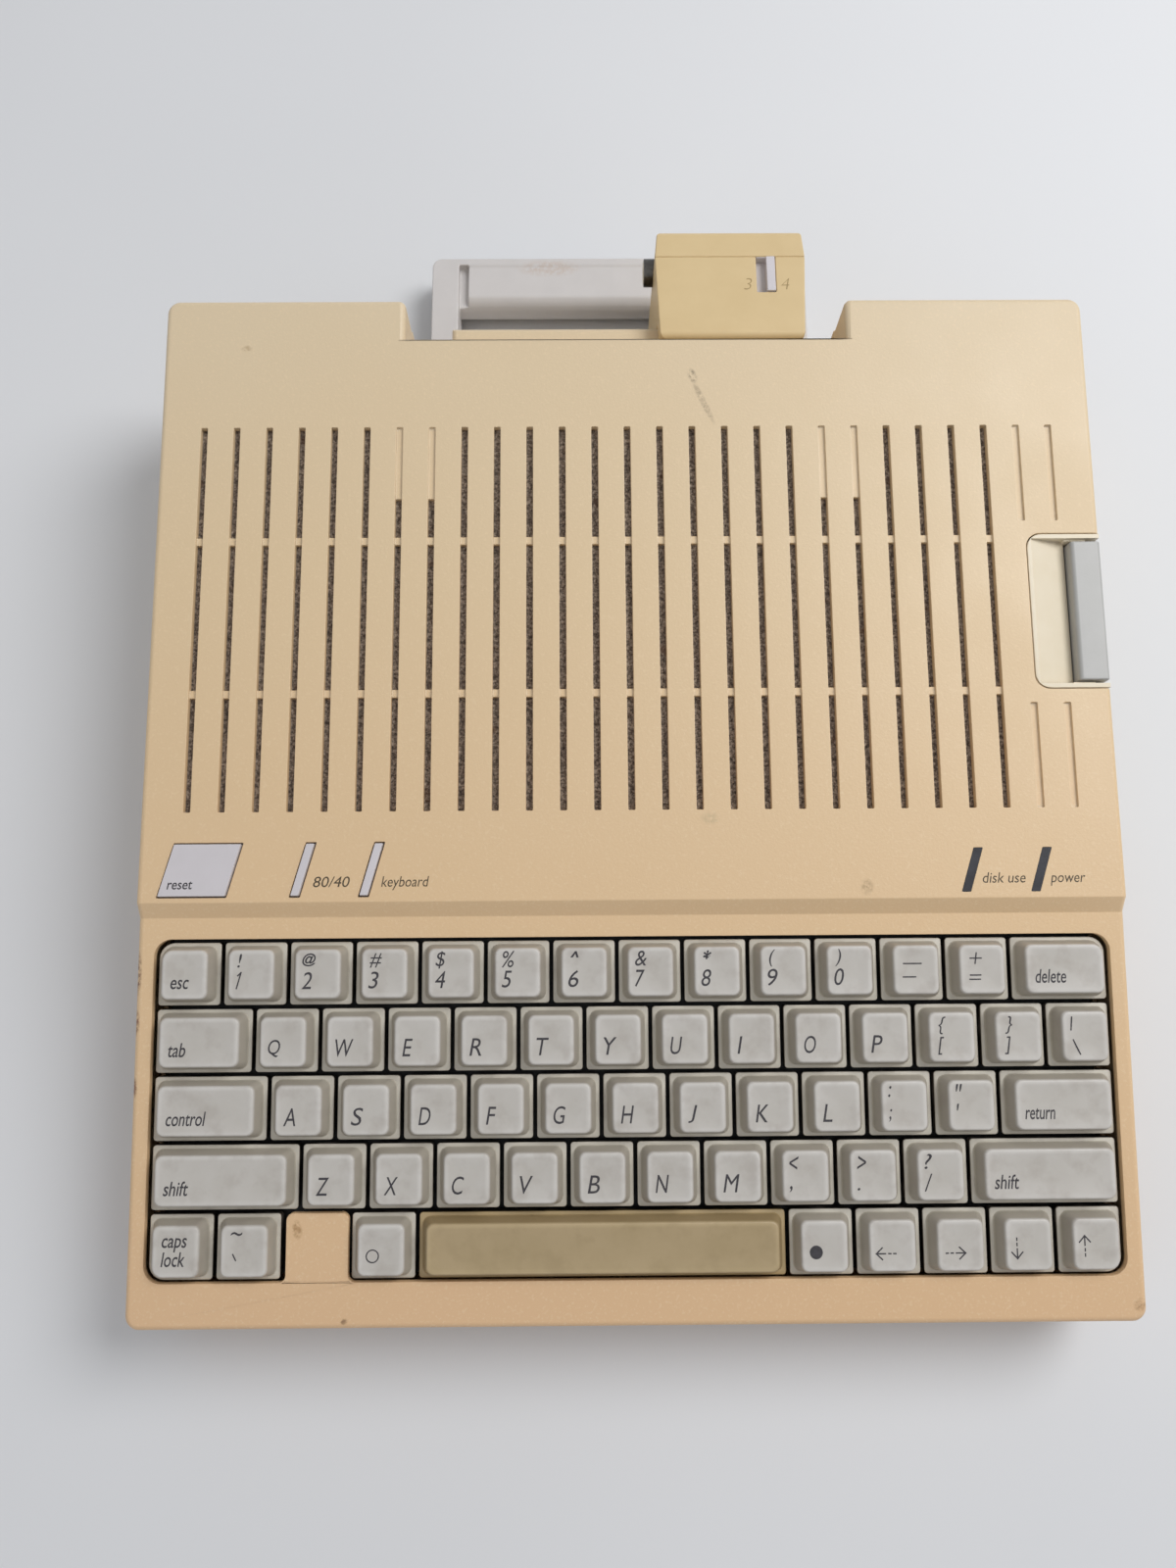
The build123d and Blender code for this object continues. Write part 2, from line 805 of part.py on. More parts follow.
def bottom_case():
    shell = lower_wedge(0, foot_height)
    back_corners = [
        e for e in shell.edges() if e.center().Y > case_depth - case_corner and is_upright(e)
    ]
    shell = fillet(back_corners, case_corner)
    shell -= lower_wedge(wall, floor_top)
    shell += seam_lip()
    # The well that the handle's arms fold into, and the hollow ledge between them.
    well = block(
        (-notch_half - notch_wall, notch_front - notch_wall, foot_height),
        (notch_half + notch_wall, case_depth, seam_z(notch_front - notch_wall)))
    shell += well & lower_wedge(0, foot_height)
    ledge = block((-half_ledge, notch_front + seat_gap, floor_top), (half_ledge, case_depth, ledge_top))
    ledge = fillet(ledge.edges().group_by(Axis.Z)[-1].sort_by(Axis.Y)[1:], ledge_round)
    shell += ledge
    shell -= block(
        (-half_ledge + notch_wall, notch_front - 2 * notch_wall, floor_top),
        (half_ledge - notch_wall, case_depth - wall, ledge_top - ledge_plate))
    for side in (-1, 1):
        x_low, x_high = sorted((side * half_ledge, side * notch_half))
        shell -= block((x_low, notch_front, -overrun), (x_high, case_depth + overrun, reach))
        shell -= rod("x", (side * (half_ledge + notch_half) / 2, pivot_y, pivot_z),
                     notch_half - half_ledge + 2 * (notch_wall + bite), pivot_radius + pivot_clearance)
    for v in (rib_inset, grid_depth - rib_inset):
        shell += support_rib(v)
    for x, y in screw_places:
        shell += faceted_column(x, y, floor_top - bite, post_top(y), counterbore_radius + post_wall)
    for x, y in board_posts:
        shell += block(
            (x - board_post_half, y - board_post_half, floor_top - bite),
            (x + board_post_half, y + board_post_half, floor_top + board_rise))
    for x, y in screw_places:
        shell -= column(x, y, -overrun, post_top(y) - screw_bridge, counterbore_radius)
        shell -= faceted_column(x, y, -overrun, post_top(y) + overrun, boss_bore)
    for cut in panel_cuts():
        shell -= cut
    shell -= bezel_side_window(bezel_gap)
    # The slot that the volume wheel shows through, and the headphone hole.
    wheel_room = wheel_radius + wheel_gap
    wheel_height = wheel_thickness / 2 + wheel_gap
    shell -= block(
        (-reach, wheel_y - wheel_room, wheel_z - wheel_height),
        (-half_width + wheel_radius, wheel_y + wheel_room, wheel_z + wheel_height))
    shell += wheel_bracket()
    shell -= rod("x", (-half_width, headphone_y, wheel_z), headphone_length, headphone_radius + panel_gap)
    for index in range(base_slot_count):
        x = base_slot_inset - half_width + (index - (base_slot_count - 1) / 2) * base_slot_pitch
        slot = block(
            (x - base_slot_width / 2, base_slot_y - base_slot_length / 2, 0),
            (x + base_slot_width / 2, base_slot_y + base_slot_length / 2, floor_top + bite))
        shell -= slot
    return shell


# The posts under the main board: six under its large part and four along its strip at the back.
board_rows = (board_front + board_post_inset, (board_front + board_back) / 2, board_back - board_post_inset)
board_posts = [
    (x, y) for x in (board_left + board_post_inset, board_right - board_post_inset) for y in board_rows[:2]
]
board_posts += [
    (x, board_rows[-1]) for x in (
        board_left + board_post_inset, -notch_half - board_notch_gap - board_post_inset,
        notch_half + board_notch_gap + board_post_inset, board_far_right - board_post_inset)
]


# ---------------------------------------------------------------- handle
def carry_handle():
    """A flat bail: two arms on the pivot pins and a grip with a rounded front."""
    bottom = pivot_z - handle_thickness / 2
    top = pivot_z + handle_thickness / 2
    half = handle_width / 2
    inner_half = half - arm_width
    back = overall_depth
    front = back - grip_depth
    frame = block((-half, pivot_y, bottom), (half, back, top))
    frame = fillet(frame.edges().filter_by(Axis.Z).sort_by(Axis.Y)[-2:], handle_corner)
    frame += rod("x", (0, pivot_y, pivot_z), handle_width, handle_thickness / 2)
    frame -= block((-inner_half, 0, bottom - overrun), (inner_half, reach, top + overrun))
    outline = Pos((front + back) / 2, pivot_z) * Rectangle(grip_depth, handle_thickness)
    outline = fillet(outline.vertices().sort_by(Axis.X)[:2], grip_round)
    handle = frame + extrude(Plane.YZ * outline, inner_half, both=True)
    # The top of the grip lies a little lower in front of a lip along its back.
    palm = inner_half - grip_groove
    handle -= block((-palm, front - overrun, top - grip_step), (palm, back - grip_lip, top + overrun))
    for side in (-1, 1):
        x_low, x_high = sorted((side * inner_half, side * palm))
        handle -= block(
            (x_low, front - overrun, top - grip_groove_depth), (x_high, back - grip_web, top + overrun))
    bore = rod("x", (0, pivot_y, pivot_z), handle_width + overrun, pivot_radius + pivot_clearance)
    return handle - bore


def handle_pivots():
    inner = half_ledge - notch_wall
    outer = notch_half + notch_wall
    return [rod("x", (side * (inner + outer) / 2, pivot_y, pivot_z), outer - inner, pivot_radius)
            for side in (-1, 1)]


# ---------------------------------------------------------------- keys
def cap_outline(width, depth, cuts):
    """A rectangle with its four corners cut off: front left, front right, back right, back left."""
    x, y = width / 2, depth / 2
    a, b, c, d = cuts
    return [
        Vector(-x + a, -y), Vector(x - b, -y), Vector(x, -y + b), Vector(x, y - c),
        Vector(x - c, y), Vector(-x + d, y), Vector(-x, y - d), Vector(-x, -y + a),
    ]


def corner_cuts(row, start, width):
    """Keys in the corners of the opening follow its rounding."""
    at_left = start == 0
    at_right = start + width == grid_units
    cuts = [cap_corner] * 4
    if row == front_row:
        cuts[0] = outer_cap_corner if at_left else cap_corner
        cuts[1] = outer_cap_corner if at_right else cap_corner
    if row == grid_rows - 1:
        cuts[2] = outer_cap_corner if at_right else cap_corner
        cuts[3] = outer_cap_corner if at_left else cap_corner
    return cuts


def frustum(foot, head, height):
    """A solid with flat sides between two outlines that have their corners in step."""
    lower = [Vector(v.X, v.Y, 0) for v in foot]
    upper = [Vector(v.X, v.Y, height) for v in head]
    faces = [Face(Wire.make_polygon(lower)), Face(Wire.make_polygon(upper))]
    for index in range(len(lower)):
        after = (index + 1) % len(lower)
        faces.append(Face(Wire.make_polygon([lower[index], lower[after], upper[after], upper[index]])))
    return Solid(Shell(faces))


def keycap(row, start, width):
    """A hollow cap: a straight skirt, a narrow ledge and a tapered top on a square stem."""
    across = width * key_pitch - key_gap
    deep = key_pitch - key_gap
    cuts = corner_cuts(row, start, width)
    inner_cuts = [max(cut - cap_ledge, cap_corner) for cut in cuts]
    skirt = make_face(Polyline(*cap_outline(across, deep, cuts), close=True))
    cap = Pos(0, 0, -skirt_height) * extrude(skirt, skirt_height)
    foot = cap_outline(across - 2 * cap_ledge, deep - 2 * cap_ledge, inner_cuts)
    head = cap_outline(
        across - 2 * (cap_ledge + cap_side_slope), deep - 2 * (cap_ledge + cap_back_slope), inner_cuts)
    cap += frustum(foot, head, cap_height)
    hollow_top = cap_height - cap_roof
    hollow_x = across / 2 - cap_wall - cap_side_slope
    hollow_y = deep / 2 - cap_wall - cap_back_slope
    cap -= block((-hollow_x, -hollow_y, -skirt_height - overrun), (hollow_x, hollow_y, hollow_top))
    cap += block(
        (-stem_width / 2, -stem_width / 2, hollow_top - stem_length),
        (stem_width / 2, stem_width / 2, hollow_top + cap_roof / 2))
    x, y = key_centre(row, start, width)
    return keys_plane * (Pos(x, y, 0) * cap)


def key_switch(row, start, width):
    half = switch_width / 2
    flange = switch_flange / 2
    well = stem_width / 2 + stem_clearance
    body = block((-half, -half, -circuit_top), (half, half, -plate_depth))
    body += block((-flange, -flange, -plate_depth), (flange, flange, -plate_depth + switch_flange_height))
    body -= block((-well, -well, -circuit_top + well_floor), (well, well, 0))
    x, y = key_centre(row, start, width)
    return keys_plane * (Pos(x, y, 0) * body)


def keyboard_plate():
    """The steel plate that every key switch clips into."""
    low = (plate_margin, 0.0)
    high = (grid_width - plate_margin, grid_depth + plate_margin)
    plate = block((low[0], low[1], -plate_depth - plate_thickness), (high[0], high[1], -plate_depth))
    hole_width = switch_width + 2 * switch_clearance
    hole = Pos(0, 0, -plate_depth - plate_thickness / 2) * Box(hole_width, hole_width, 2 * plate_thickness)
    return keys_plane * (plate - [Pos(*key_centre(*key), 0) * hole for key in all_keys()])


def keyboard_circuit():
    """The keyboard's circuit board, with a tab at the back left for the three controls."""
    board = block(
        (plate_margin, 0, -circuit_top - circuit_thickness),
        (grid_width - plate_margin, grid_depth + plate_margin, -circuit_top))
    tab_right = layout_switch_left + latching_width + control_slant + tab_margin + grid_width / 2
    tab_back_y = deck_front_y + control_front + control_length + tab_margin
    tab_back = tab_back_y / cos(radians(keyboard_slope)) - grid_front
    board += block(
        (plate_margin, grid_depth, -circuit_top - circuit_thickness), (tab_right, tab_back, -circuit_top))
    return keys_plane * board


# ---------------------------------------------------------------- controls and lamps
def control_button(left, width):
    """A slanted push button with a flange that keeps it inside its opening."""
    flange_top = -wall * cos(radians(deck_slope)) - control_flange_gap
    button = prism(deck, control_outline(left, width, -control_gap), -control_body, control_height)
    return button + prism(
        deck, control_outline(left, width, control_flange), flange_top - control_flange_thickness, flange_top)


def control_switches():
    """The three small push switches that stand on the keyboard circuit under the buttons."""
    bodies = []
    for left, width, travel in (
            (reset_left, reset_width, reset_travel), (column_switch_left, latching_width, latching_travel),
            (layout_switch_left, latching_width, latching_travel)):
        middle = left + (width + control_slant) / 2
        y = deck_front_y + control_front + control_length / 2
        front = y - control_switch_depth / 2
        circuit_z = keyboard_z(y) - (rim_depth + circuit_top) / cos(radians(keyboard_slope))
        top = deck_z(front) - control_body - travel - control_switch_gap
        body = block(
            (middle - control_switch_half, front, 0),
            (middle + control_switch_half, y + control_switch_depth / 2, top))
        cut = prism(sloping_plane(0, y, circuit_z, keyboard_slope), Rectangle(reach, reach), -reach, 0)
        bodies.append(body - cut)
    return bodies


def lamp_window(left):
    """A smoked bar that sits flush in the deck, with a flange behind it."""
    under = wall * cos(radians(deck_slope))
    bar = prism(deck, lamp_outline(left, -lamp_fit), -under, 0)
    return bar + prism(deck, lamp_outline(left, lamp_flange), -under - lamp_flange_thickness, -under)


# ---------------------------------------------------------------- disk drive
def disk_drive():
    """A half-height drive, front to the right, with the mouth of the disk guide."""
    guide_left = drive_face_x - disk_slot_run
    body = block((drive_left_x, drive_front_y, drive_bottom), (drive_face_x, drive_back_y, drive_top))
    body -= block(
        (guide_left, drive_middle_y - disk_slot_length / 2, disk_slot_bottom),
        (drive_face_x + overrun, drive_middle_y + disk_slot_length / 2, disk_slot_top))
    # The chassis is a tray that is open below, with the guide for the disk across its middle.
    tray = block(
        (drive_left_x + drive_wall, drive_front_y + drive_wall, 0),
        (drive_face_x - drive_wall, drive_back_y - drive_wall, drive_top - drive_wall))
    guide = block(
        (guide_left - drive_wall, drive_front_y, disk_slot_bottom - drive_wall),
        (drive_face_x, drive_back_y, disk_slot_top + drive_wall))
    body -= tray - guide
    pocket_half = bezel_top_length / 2 + bezel_pocket_gap
    pocket_bottom = disk_slot_top + drive_wall + bezel_gap
    body -= block(
        (bezel_top_left - bezel_pocket_gap, drive_middle_y - pocket_half, pocket_bottom),
        (drive_face_x + overrun, drive_middle_y + pocket_half, reach))
    for y in (drive_front_y + drive_foot_inset, drive_back_y - drive_foot_inset):
        for x in (drive_face_x - drive_foot_inset, drive_left_x + drive_foot_inset):
            body += column(x, y, floor_top, drive_bottom + 2 * drive_wall, drive_foot_radius)
    return body


def drive_bezel():
    """The drive's moulded face: a slotted plate in the side and a scooped shelf in the deck."""
    side = bezel_side_window(0) & block((bezel_face_x - bezel_thickness, 0, 0), (bezel_face_x, reach, reach))
    shelf = bezel_top_window(0, bezel_cover_drop)
    beside_latch = block((latch_left - latch_gap, 0, 0), (reach, reach, reach))
    shelf += bezel_top_window(0, bezel_neck_depth) & beside_latch
    shelf -= prism(deck, Rectangle(reach, 2 * reach), 0, reach)
    shelf &= block((0, 0, 0), (bezel_face_x, reach, reach))
    bezel = side + shelf
    shelf_place = deck * Pos(0, shelf_middle, 0)
    # The scoop falls from the rim to the latch as one sloping face.
    far = half_width + overrun
    fall = extrude(
        Plane.XZ * make_face(Polyline(
            (bezel_top_left + scoop_rim, -scoop_shallow), (latch_left, -scoop_drop), (far, -scoop_drop),
            (far, overrun), (bezel_top_left + scoop_rim, overrun), close=True)),
        bezel_top_length / 2 - scoop_rim, both=True)
    bezel -= shelf_place * fall
    pocket_half = latch_length / 2 + latch_gap
    bezel -= shelf_place * block(
        (latch_left - latch_gap, -pocket_half, -latch_drop - latch_gap), (far, pocket_half, overrun))
    bezel -= block(
        (0, drive_middle_y - disk_slot_length / 2, disk_slot_bottom),
        (reach, drive_middle_y + disk_slot_length / 2, disk_slot_top))
    # Two cheeks beside the latch hold its pins.
    for side_sign in (-1, 1):
        near = side_sign * pocket_half
        y_low, y_high = sorted((near, near + side_sign * cheek_thickness))
        bezel += shelf_place * block(
            (latch_left - cheek_margin, y_low, -bezel_cover_drop),
            (latch_left + 2 * latch_pivot_in + cheek_margin, y_high, -cheek_drop))
    bore_length = latch_length + 2 * (latch_pin_length + pin_end_gap)
    return bezel - shelf_place * latch_rod(latch_pin_radius + pivot_clearance, bore_length)


def latch_rod(radius, length):
    return rod("y", (latch_left + latch_pivot_in, 0, -latch_pivot_drop), length, radius)


def drive_latch():
    """The grey latch on the corner of the case; it hinges up on two small pins."""
    half = latch_length / 2
    body = block((latch_left, -half, -latch_drop), (half_width - latch_edge_gap, half, latch_proud))
    body = fillet(body.edges().filter_by(Axis.Y).group_by(Axis.Z)[-1], latch_round)
    pins = latch_rod(latch_pin_radius, latch_length + 2 * latch_pin_length)
    return deck * (Pos(0, shelf_middle, 0) * (body + pins))


# ---------------------------------------------------------------- sockets
def d_socket(x, width):
    front = case_depth - port_recess
    back = case_depth - wall - 2 * d_plug_wall
    behind = facing_back(x, back, port_z)
    socket = prism(facing_back(x, front, port_z), d_outline(width, 0), back - front, 0)
    socket += prism(behind, Rectangle(flange_width(width), d_flange_height), -d_flange_thickness, 0)
    socket += prism(behind, Rectangle(width + 2 * d_body_overhang, d_body_height), -d_body_depth, 0)
    leg_y = back - d_body_depth
    leg_top = port_z - d_shell_lean
    return socket + block(
        (x - width / 2, leg_y, board_top), (x + width / 2, leg_y + socket_leg_depth, leg_top))


def din_socket(x):
    back = case_depth - din_depth
    socket = rod("y", (x, (case_depth + back) / 2, port_z), din_depth, din_radius)
    socket -= rod("y", (x, case_depth, port_z), 2 * din_recess, din_radius - din_wall)
    leg_top = port_z - din_radius + din_wall
    return socket + block(
        (x - socket_leg_half, back, board_top), (x + socket_leg_half, back + socket_leg_depth, leg_top))


def video_socket():
    back = case_depth - wall - rca_flange_thickness
    jack = rod("y", (video_x, case_depth + rca_length / 2 - wall, port_z), rca_length, rca_radius)
    jack += rod("y", (video_x, back + rca_flange_thickness / 2, port_z), rca_flange_thickness, rca_flange)
    leg_half = rca_flange / 2
    jack += block(
        (video_x - leg_half, back, board_top), (video_x + leg_half, back + rca_flange_thickness, port_z))
    return jack - rod("y", (video_x, case_depth + rca_length / 2, port_z), rca_length, rca_bore)


def rocker_frame_piece():
    """The power switch's frame, with the switch body behind it."""
    plane = facing_back(rocker_x, case_depth, port_z)
    width = rocker_space - 2 * rocker_frame_fit
    height = rocker_height + 2 * rocker_frame - 2 * rocker_frame_fit
    back = -rocker_depth - rocker_body_depth
    opening = Rectangle(rocker_width + panel_gap, rocker_height + panel_gap)
    frame = prism(plane, Rectangle(width, height), back, rocker_frame_lip)
    frame -= prism(plane, opening, -rocker_depth - rocker_room, overrun)
    frame -= rod("x", (rocker_x, case_depth - rocker_depth + rocker_pin_rise, port_z),
                 rocker_width + 2 * (rocker_pin_bite + rocker_side_gap), rocker_pin_radius + pivot_clearance)
    leg_y = case_depth + back
    return frame + block(
        (rocker_x - socket_leg_half, leg_y, board_top),
        (rocker_x + socket_leg_half, leg_y + socket_leg_depth, port_z - height / 2 + bite))


def power_rocker():
    """The rocker itself, drawn level and then tipped to its off position."""
    half = rocker_height / 2 - rocker_end_gap
    bottom = -rocker_depth + rocker_floor_gap
    pin_y = -rocker_depth + rocker_pin_rise
    outline = make_face(Polyline(
        (rocker_crown, -half), (-rocker_dip, 0), (rocker_crown, half), (-rocker_edge, half),
        (bottom, rocker_heel), (bottom, -rocker_heel), (-rocker_edge, -half), close=True))
    body = extrude(Plane.YZ * outline, rocker_width / 2 - rocker_side_gap, both=True)
    pin = rod("x", (0, pin_y, 0), rocker_width + 2 * rocker_pin_bite, rocker_pin_radius)
    tipped = Pos(0, pin_y, 0) * Rot(rocker_tilt, 0, 0) * Pos(0, -pin_y, 0)
    return Pos(rocker_x, case_depth, port_z) * tipped * (body + pin)


# ---------------------------------------------------------------- modulator
def tapered_block(front_y, back_y, front_width, back_width, bottom, top):
    """A block whose sides open out towards the back."""
    outline = make_face(Polyline(
        (-front_width / 2, front_y), (front_width / 2, front_y), (back_width / 2, back_y),
        (-back_width / 2, back_y), close=True))
    return Pos(modulator_x, 0, bottom) * extrude(outline, top - bottom)


def jack_pocket():
    left_wall = modulator_x - modulator_back_width / 2
    return rod("x", (left_wall, jack_y, jack_z), 2 * jack_depth, jack_radius + pivot_clearance)


def above_bottom(edges):
    """Leaves out the edges that lie round the modulator's bottom."""
    return [edge for edge in edges if edge.center().Z > modulator_bottom + modulator_round]


def modulator_case():
    body = tapered_block(
        modulator_front_y, modulator_seam_y, modulator_front_width, modulator_back_width,
        modulator_bottom, modulator_top)
    body = fillet(above_bottom(body.edges().sort_by(Axis.Y)[:4]), modulator_round)
    # The upper part reaches over the case's ledge; the lower part stands off the back panel.
    body -= block(
        (-reach, 0, 0), (reach, case_depth + modulator_step_gap, ledge_top + modulator_ledge_gap))
    body -= block(
        (channel_slot_x - channel_slot_width / 2, modulator_seam_y - channel_slot_length,
         modulator_top - channel_slot_depth),
        (channel_slot_x + channel_slot_width / 2, modulator_seam_y + overrun, modulator_top + overrun))
    return body - jack_pocket()


def modulator_cover():
    body = tapered_block(
        modulator_seam_y, modulator_back_y, modulator_back_width, modulator_cover_width,
        modulator_bottom, modulator_top)
    body = fillet(above_bottom(body.edges().sort_by(Axis.Y)[-4:]), modulator_round)
    return body - jack_pocket()


def modulator_plug():
    """The metal shell that pushes over the video expansion socket."""
    width = d_sockets["video_expansion_socket"][1]
    back = case_depth + modulator_step_gap
    grown = d_plug_wall + panel_gap
    plane = facing_back(expansion_x, back, port_z)
    return prism(plane, d_outline(width, grown) - d_outline(width, panel_gap), -wall - modulator_step_gap, 0)


def modulator_jack():
    left_wall = modulator_x - modulator_back_width / 2
    middle = left_wall + (jack_depth - jack_length) / 2
    jack = rod("x", (middle, jack_y, jack_z), jack_length + jack_depth, jack_radius)
    return jack - rod("x", (left_wall - jack_length, jack_y, jack_z), 2 * jack_depth, jack_bore)


def channel_switch():
    """A narrow slider, stored at the right-hand end of its slot."""
    right = channel_slot_x + channel_slot_width / 2 - channel_gap
    front = modulator_seam_y - channel_slot_length + 2 * channel_gap
    return block(
        (right - channel_slider_width, front, modulator_top - channel_slot_depth + channel_gap),
        (right, modulator_seam_y - channel_gap, modulator_top - channel_slot_depth + channel_slider_height))


# ---------------------------------------------------------------- left side
def wheel_centre_x():
    lean = (seam_z(wheel_y) - wheel_z) * tan(radians(side_draft))
    return -half_width + seam_reveal + lean + wheel_radius - wheel_showing


def wheel_bracket():
    """The post on the floor that carries the volume wheel's pin."""
    x = wheel_centre_x()
    half = wheel_thickness / 2 + wheel_gap
    ear = block(
        (x - wheel_ear_half, wheel_y - wheel_ear_half, floor_top - bite),
        (x + wheel_ear_half, wheel_y + wheel_ear_half, wheel_z - half))
    return ear - column(x, wheel_y, floor_top, reach, wheel_pin_radius + pivot_clearance)


def volume_wheel():
    x = wheel_centre_x()
    wheel = column(x, wheel_y, wheel_z - wheel_thickness / 2, wheel_z + wheel_thickness / 2, wheel_radius)
    return wheel + column(x, wheel_y, floor_top + bite, wheel_z, wheel_pin_radius)


def headphone_socket():
    lean = (seam_z(headphone_y) - wheel_z) * tan(radians(side_draft))
    wall_x = seam_reveal + lean - half_width
    middle = wall_x + headphone_inset + headphone_length / 2
    socket = rod("x", (middle, headphone_y, wheel_z), headphone_length, headphone_radius)
    socket += block(
        (wall_x + wall + headphone_leg_gap, headphone_y - headphone_leg_half, floor_top),
        (wall_x + headphone_length, headphone_y + headphone_leg_half, wheel_z + headphone_radius))
    return socket - rod("x", (wall_x, headphone_y, wheel_z), 2 * headphone_bore_depth, headphone_bore)


# ---------------------------------------------------------------- inside
def logic_board():
    """The main board: the left of the case and a strip along the back for the sockets."""
    notch_side = notch_half + board_notch_gap
    notch_edge = notch_front - board_notch_gap
    outline = make_face(Polyline(
        (board_left, board_front), (board_right, board_front), (board_right, board_strip_front),
        (board_far_right, board_strip_front), (board_far_right, board_back), (notch_side, board_back),
        (notch_side, notch_edge), (-notch_side, notch_edge), (-notch_side, board_back),
        (board_left, board_back), close=True))
    board = Pos(0, 0, board_top - board_thickness) * extrude(outline, board_thickness)
    for x, y in screw_places:
        board -= faceted_column(x, y, 0, reach, counterbore_radius + post_wall + board_screw_gap)
    return board


def chip(left, front, width, length):
    return block((left, front, board_top), (left + width, front + length, board_top + chip_height))


def board_chips():
    """Rows of chips in their packages; the two long ones are the processor and the disk chip."""
    chips = []
    room = board_right - board_left - 2 * chip_space - chip_width
    front = board_front + chip_space
    for row in range(chip_rows):
        for column_index in range(int(room / chip_pitch) + 1):
            left = board_left + chip_space + column_index * chip_pitch
            chips.append(chip(left, front, chip_width, chip_length))
        front += chip_length + chip_space
    for row in range(long_chips):
        left = board_right - chip_space - long_chip_length
        chips.append(chip(left, front, long_chip_length, long_chip_width))
        front += long_chip_width + chip_space
    return chips


def power_converter():
    """The screened supply board beside the power socket."""
    left = board_left + chip_space
    return block(
        (left, board_strip_front - converter_length, board_top),
        (left + converter_width, board_strip_front, board_top + converter_height))


def speaker():
    """A flat loudspeaker, rim down, with its magnet on top."""
    x = speaker_inset - half_width
    rim = column(x, speaker_y, floor_top, floor_top + speaker_rim, speaker_radius)
    return rim + column(x, speaker_y, floor_top, floor_top + speaker_height, speaker_magnet_radius)


def rubber_feet():
    rows = (foot_inset, case_depth - foot_back_inset)
    places = [(side * (half_width - foot_inset), y) for side in (-1, 1) for y in rows]
    return [column(x, y, 0, foot_height, foot_radius) for x, y in places]


def case_screws():
    screws = []
    for x, y in screw_places:
        seat = post_top(y) - screw_bridge
        head = column(x, y, seat - screw_head_height, seat, screw_head_radius)
        tip = post_top(y) + screw_bite - screw_tip_gap
        screws.append(head + column(x, y, seat, tip, screw_radius))
    return screws


# ---------------------------------------------------------------- writing the pieces
def pieces():
    yield "top_case", top_case()
    yield "bottom_case", bottom_case()
    yield "vent_screen", vent_screen()
    yield "carry_handle", carry_handle()
    yield "handle_pivots", handle_pivots()
    for name, (row, keys) in key_groups.items():
        yield name, [keycap(row, start, width) for start, width in keys]
    yield "key_switches", [key_switch(*key) for key in all_keys()]
    yield "keyboard_plate", keyboard_plate()
    yield "keyboard_circuit", keyboard_circuit()
    yield "reset_button", control_button(reset_left, reset_width)
    yield "column_switch", control_button(column_switch_left, latching_width)
    yield "layout_switch", control_button(layout_switch_left, latching_width)
    yield "control_switches", control_switches()
    yield "disk_lamp", lamp_window(disk_lamp_left)
    yield "power_lamp", lamp_window(power_lamp_left)
    yield "disk_drive", disk_drive()
    yield "drive_bezel", drive_bezel()
    yield "drive_latch", drive_latch()
    for name, (x, width) in d_sockets.items():
        yield name, d_socket(x, width)
    yield "serial_sockets", [din_socket(modem_x), din_socket(printer_x)]
    yield "power_socket", din_socket(power_socket_x)
    yield "video_socket", video_socket()
    yield "power_switch_frame", rocker_frame_piece()
    yield "power_rocker", power_rocker()
    yield "modulator_case", modulator_case()
    yield "modulator_cover", modulator_cover()
    yield "modulator_plug", modulator_plug()
    yield "modulator_jack", modulator_jack()
    yield "channel_switch", channel_switch()
    yield "volume_wheel", volume_wheel()
    yield "headphone_socket", headphone_socket()
    yield "logic_board", logic_board()
    yield "board_chips", board_chips()
    yield "power_converter", power_converter()
    yield "speaker", speaker()
    yield "rubber_feet", rubber_feet()
    yield "case_screws", case_screws()


centred = Pos(0, -overall_depth / 2, 0)
for name, shape in pieces():
    solids = shape if isinstance(shape, list) else [shape]
    placed = [centred * solid for solid in solids]
    export_step(placed[0] if len(placed) == 1 else Compound(children=placed), f"parts/{name}.step")
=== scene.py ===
import json
from math import atan2, cos, pi, radians, sin, tan

import bpy
from mathutils import Matrix, Vector


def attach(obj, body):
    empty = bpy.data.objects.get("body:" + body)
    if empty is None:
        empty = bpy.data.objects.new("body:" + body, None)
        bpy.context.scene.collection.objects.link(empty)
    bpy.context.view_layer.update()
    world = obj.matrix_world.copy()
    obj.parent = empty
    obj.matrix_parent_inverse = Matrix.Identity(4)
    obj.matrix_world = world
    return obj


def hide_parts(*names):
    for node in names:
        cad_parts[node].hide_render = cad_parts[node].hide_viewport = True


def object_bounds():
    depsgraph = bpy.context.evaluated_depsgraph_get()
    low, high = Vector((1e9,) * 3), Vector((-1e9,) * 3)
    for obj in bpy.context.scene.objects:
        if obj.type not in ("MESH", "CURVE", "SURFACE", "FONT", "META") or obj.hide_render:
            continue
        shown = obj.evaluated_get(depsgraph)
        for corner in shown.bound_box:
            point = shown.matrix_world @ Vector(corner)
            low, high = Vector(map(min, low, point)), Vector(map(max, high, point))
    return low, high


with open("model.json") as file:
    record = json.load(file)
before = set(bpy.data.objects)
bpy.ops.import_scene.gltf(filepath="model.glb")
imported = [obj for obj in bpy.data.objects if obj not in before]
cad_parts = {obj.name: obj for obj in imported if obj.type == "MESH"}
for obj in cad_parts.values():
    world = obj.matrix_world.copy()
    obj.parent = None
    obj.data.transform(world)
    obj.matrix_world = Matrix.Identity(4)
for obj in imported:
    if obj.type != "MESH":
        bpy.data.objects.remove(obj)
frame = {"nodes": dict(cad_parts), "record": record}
cad_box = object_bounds()

